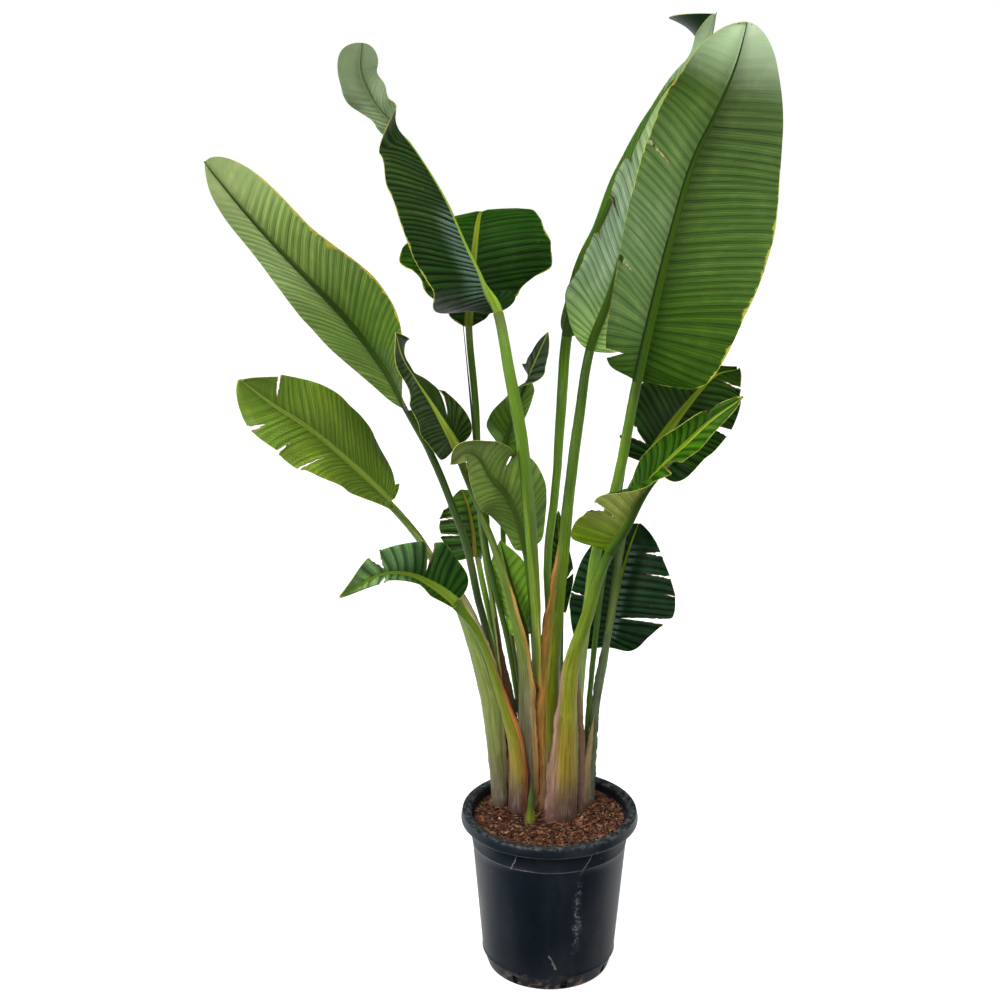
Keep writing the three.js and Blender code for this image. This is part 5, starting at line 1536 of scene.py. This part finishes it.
def pot_shader():
    """Dark blown plastic with a dull film, dust and a painted highlight on the rim, painted highlight lines
    on its ring and lip, a whitish smear, scratches and a dirty foot.
    """
    s = Shader("pot_plastic")
    place = s.place()
    x, y, z = s.split(place)
    film = s.noise(s.stretch(place, 9, 9, 4), 1.0, 5.0, 0.6)
    rubs = s.cells(s.stretch(place, 38, 38, 7))
    base = s.mix(s.ease(film, 0.35, 0.7), *PLASTIC_TONES)
    base = s.mix(s.ease(film, 0.56, 0.74, 0.0, 0.3), base, FILM_TONE)
    base = s.mix(s.ease(rubs, 0.015, 0.05, 0.35, 0.0), base, RUBBED_TONE)
    # The rim's top: partly dust and partly a painted highlight
    dust_and_highlight = s.ease(z, 0.2485, 0.2545) * s.ease(s.noise(place, 160.0, 4.0, 0.7), 0.42, 0.66)
    base = s.mix(dust_and_highlight * 0.5, base, DUST_AND_HIGHLIGHT_TONE)
    front = y < 0.0
    sway = s.ease(s.noise(place, 40.0, 3.0), 0.3, 0.7, -0.004, 0.004)
    smear = s.ease(abs(x - SMEAR_X + sway), 0.0, 0.007, 1.0, 0.0) * front
    smear = smear * (s.ease(z, 0.06, 0.1) * s.ease(z, 0.17, 0.2, 1.0, 0.0))
    smear = smear * s.ease(s.noise(place, 260.0, 3.0, 0.7), 0.45, 0.62)
    base = s.mix(smear * 0.75, base, SMEAR_TONE)
    dirt = s.ease(z, 0.004, 0.032, 1.0, 0.0) * s.ease(s.noise(place, 75.0, 5.0, 0.7), 0.5, 0.62)
    base = s.mix(dirt * 0.85, base, DIRT_TONE)
    worn = s.ease(s.noise(place, 60.0, 3.0), 0.3, 0.7, 0.35, 1.0)
    # Painted highlight lines along the ring and along the lip's edge, broken up by the worn noise
    ring = s.ease(abs(z - RING_HEIGHT * MM), 0.0002, 0.0011, 0.75, 0.0)
    base = s.mix(ring * worn, base, RING_HIGHLIGHT_TONE)
    lip = s.ease(abs(z - LIP_EDGE * MM), 0.0004, 0.0016, 0.8, 0.0)
    base = s.mix(lip * worn, base, LIP_HIGHLIGHT_TONE)
    base = s.mix(s.ease(s.cells(place, 48.0), 0.03, 0.06, 0.6, 0.0), base, SPECK_TONE)
    wobble = s.ease(s.noise(place, 120.0, 3.0), 0.3, 0.7, -0.001, 0.001)
    for start, end, width in SCRATCHES:
        mark = scratch(s, x, z, start, end, width, wobble) * front * worn
        base = s.mix(mark * 0.85, base, SCRATCH_TONE)
    s.set("Base Color", base)
    s.set("Roughness", s.ease(film, 0.3, 0.7, 0.28, 0.42) + (dust_and_highlight + smear) * 0.3)
    s.set("Specular IOR Level", 0.5)
    flow = s.noise(s.stretch(place, 30, 30, 260), 1.0, 2.0)
    s.bump(flow * 0.7 + s.noise(place, 160.0, 3.0) * 0.3, 0.0006, 0.5)
    return s.material


def soil_shader(name, chips):
    """Damp mix in two browns, or bark chips in their own tones."""
    s = Shader(name)
    place = s.place()
    grain = s.noise(place, 420.0, 4.0, 0.7)
    clod = s.noise(place, 90.0, 3.0, 0.6)
    if chips:
        base = s.shade(s.colour("tone"), s.ease(grain, 0.3, 0.7, 0.6, 1.4))
    else:
        dark, brown, pale = SOIL_TONES
        base = s.mix(s.ease(clod, 0.35, 0.65), dark, brown)
        base = s.mix(s.ease(grain, 0.55, 0.75, 0.0, 0.7), base, pale)
    s.set("Base Color", base)
    s.set("Roughness", s.ease(grain, 0.3, 0.7, 0.75, 0.98))
    s.set("Specular IOR Level", 0.25)
    s.bump(grain + clod * 0.8, 0.0012 if chips else 0.003, 0.8)
    return s.material


def make_stage():
    """A pale floor that runs out into the white backdrop, and is dimmer as a bounce for the plant."""
    near, far, wide, low = -6000, 9000, 6000, -0.6
    corners = [[-wide, near, low], [wide, near, low], [wide, far, low], [-wide, far, low]]
    s = Shader("pale_floor")
    seen, mirrored = s.ray("Is Camera Ray"), s.ray("Is Glossy Ray")
    ground = s.mix(s.noise(s.place(), 3.0, 2.0), (0.46, 0.46, 0.46), (0.5, 0.5, 0.5))
    s.set("Base Color", s.mix(mirrored, ground, (0.0, 0.0, 0.0)))
    s.set("Roughness", 0.7)
    s.set("Specular IOR Level", 0.0)
    s.set("Emission Color", (1.0, 1.0, 1.0))
    x, y, _ = s.split(s.place())
    away = s.math("SQRT", x * x + y * y)
    glow = seen * s.ease(away, 0.15, 1.5, 0.76, 1.0) + mirrored * s.ease(y, -0.2, 0.12, 0.0, 0.8)
    s.set("Emission Strength", glow)
    floor = make_piece("floor", np.array(corners, float), [[0, 1, 2, 3]], materials=(s.material,))


def make_world():
    """The room, white to the camera, dim as a light on the plant and dimmer yet in its gloss."""
    world = bpy.data.worlds.new("studio")
    world.use_nodes = True
    tree = world.node_tree
    rays = tree.nodes.new("ShaderNodeLightPath").outputs
    dark = {}
    for kind in ("Is Camera Ray", "Is Glossy Ray"):
        dark[kind] = tree.nodes.new("ShaderNodeMapRange")
        tree.links.new(rays[kind], dark[kind].inputs[0])
    seen, mirrored = dark["Is Camera Ray"], dark["Is Glossy Ray"]
    mirrored.inputs[3].default_value = ROOM_LIGHT
    mirrored.inputs[4].default_value = ROOM_SHEEN
    tree.links.new(mirrored.outputs[0], seen.inputs[3])
    seen.inputs[4].default_value = 1.0
    background = tree.nodes["Background"]
    background.inputs["Color"].default_value = (1, 1, 1, 1)
    tree.links.new(seen.outputs[0], background.inputs["Strength"])
    scene = bpy.context.scene
    scene.world = world
    scene.view_settings.view_transform = "Standard"
    scene.view_settings.look = "None"


def make_lamps():
    """Area lamps. The sheen lamps show only in glossy reflections, and the others only light the plant."""
    for name, place, aim_height, size, power in LAMPS:
        data = bpy.data.lights.new(name, "AREA")
        data.shape = "RECTANGLE"
        data.size, data.size_y = size
        data.energy = power
        lamp = bpy.data.objects.new(name, data)
        lamp.location = place
        x, y, z = np.array((0, 0, aim_height), float) - np.array(place, float)
        lamp.rotation_euler = (math.acos(-z / math.hypot(x, y, z)), 0, math.atan2(-x, y))
        bpy.context.scene.collection.objects.link(lamp)
        lamp.visible_camera = False
        lamp.visible_glossy = name.endswith("sheen")
        lamp.visible_diffuse = not name.endswith("sheen")


make_camera()
cad_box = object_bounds()
LEAF_UPPER = leaf_shader(
    "leaf_upper", (0.66, 1.4), (0.3, 1.0, -0.25, 0.7), (1.7, 1.45, 1.0), (1.35, 0.8), (0.1, 0.8, 0.8, 1.15),
    (0.34, 0.48), 0.34,
)
LEAF_UNDER = leaf_shader(
    "leaf_under", (0.8, 1.2), (0.4, 1.0, -0.08, 0.25), (1.5, 1.3, 1.5), (0.95, 0.45), (0.35, 1.0, 0.75, 1.5),
    (0.46, 0.62), 0.22,
)
STALK = stalk_shader()
POT = pot_shader()
SOIL = soil_shader("potting_soil", False)
BARK = soil_shader("bark_chips", True)
for number, leaf in enumerate(LEAVES):
    leaf.update({**PLAIN_LOOK, **LOOKS[leaf["name"]]})
    line = leaf_line(leaf)
    make_stalk(leaf, line, 100 + 13 * number)
    make_blade(leaf, line, 500 + 17 * number)
for number, spear in enumerate(SPEARS):
    spear.update({**PLAIN_LOOK, **LOOKS[spear["name"]]})
    make_stalk(spear, spear_line(spear), 900 + 13 * number)
for number, (path, widths, heading, tone) in enumerate(SCRAPS, 1):
    make_scrap(number, path, widths, heading, tone)
make_pot()
make_soil()
make_chips()
make_stage()
make_world()
make_lamps()
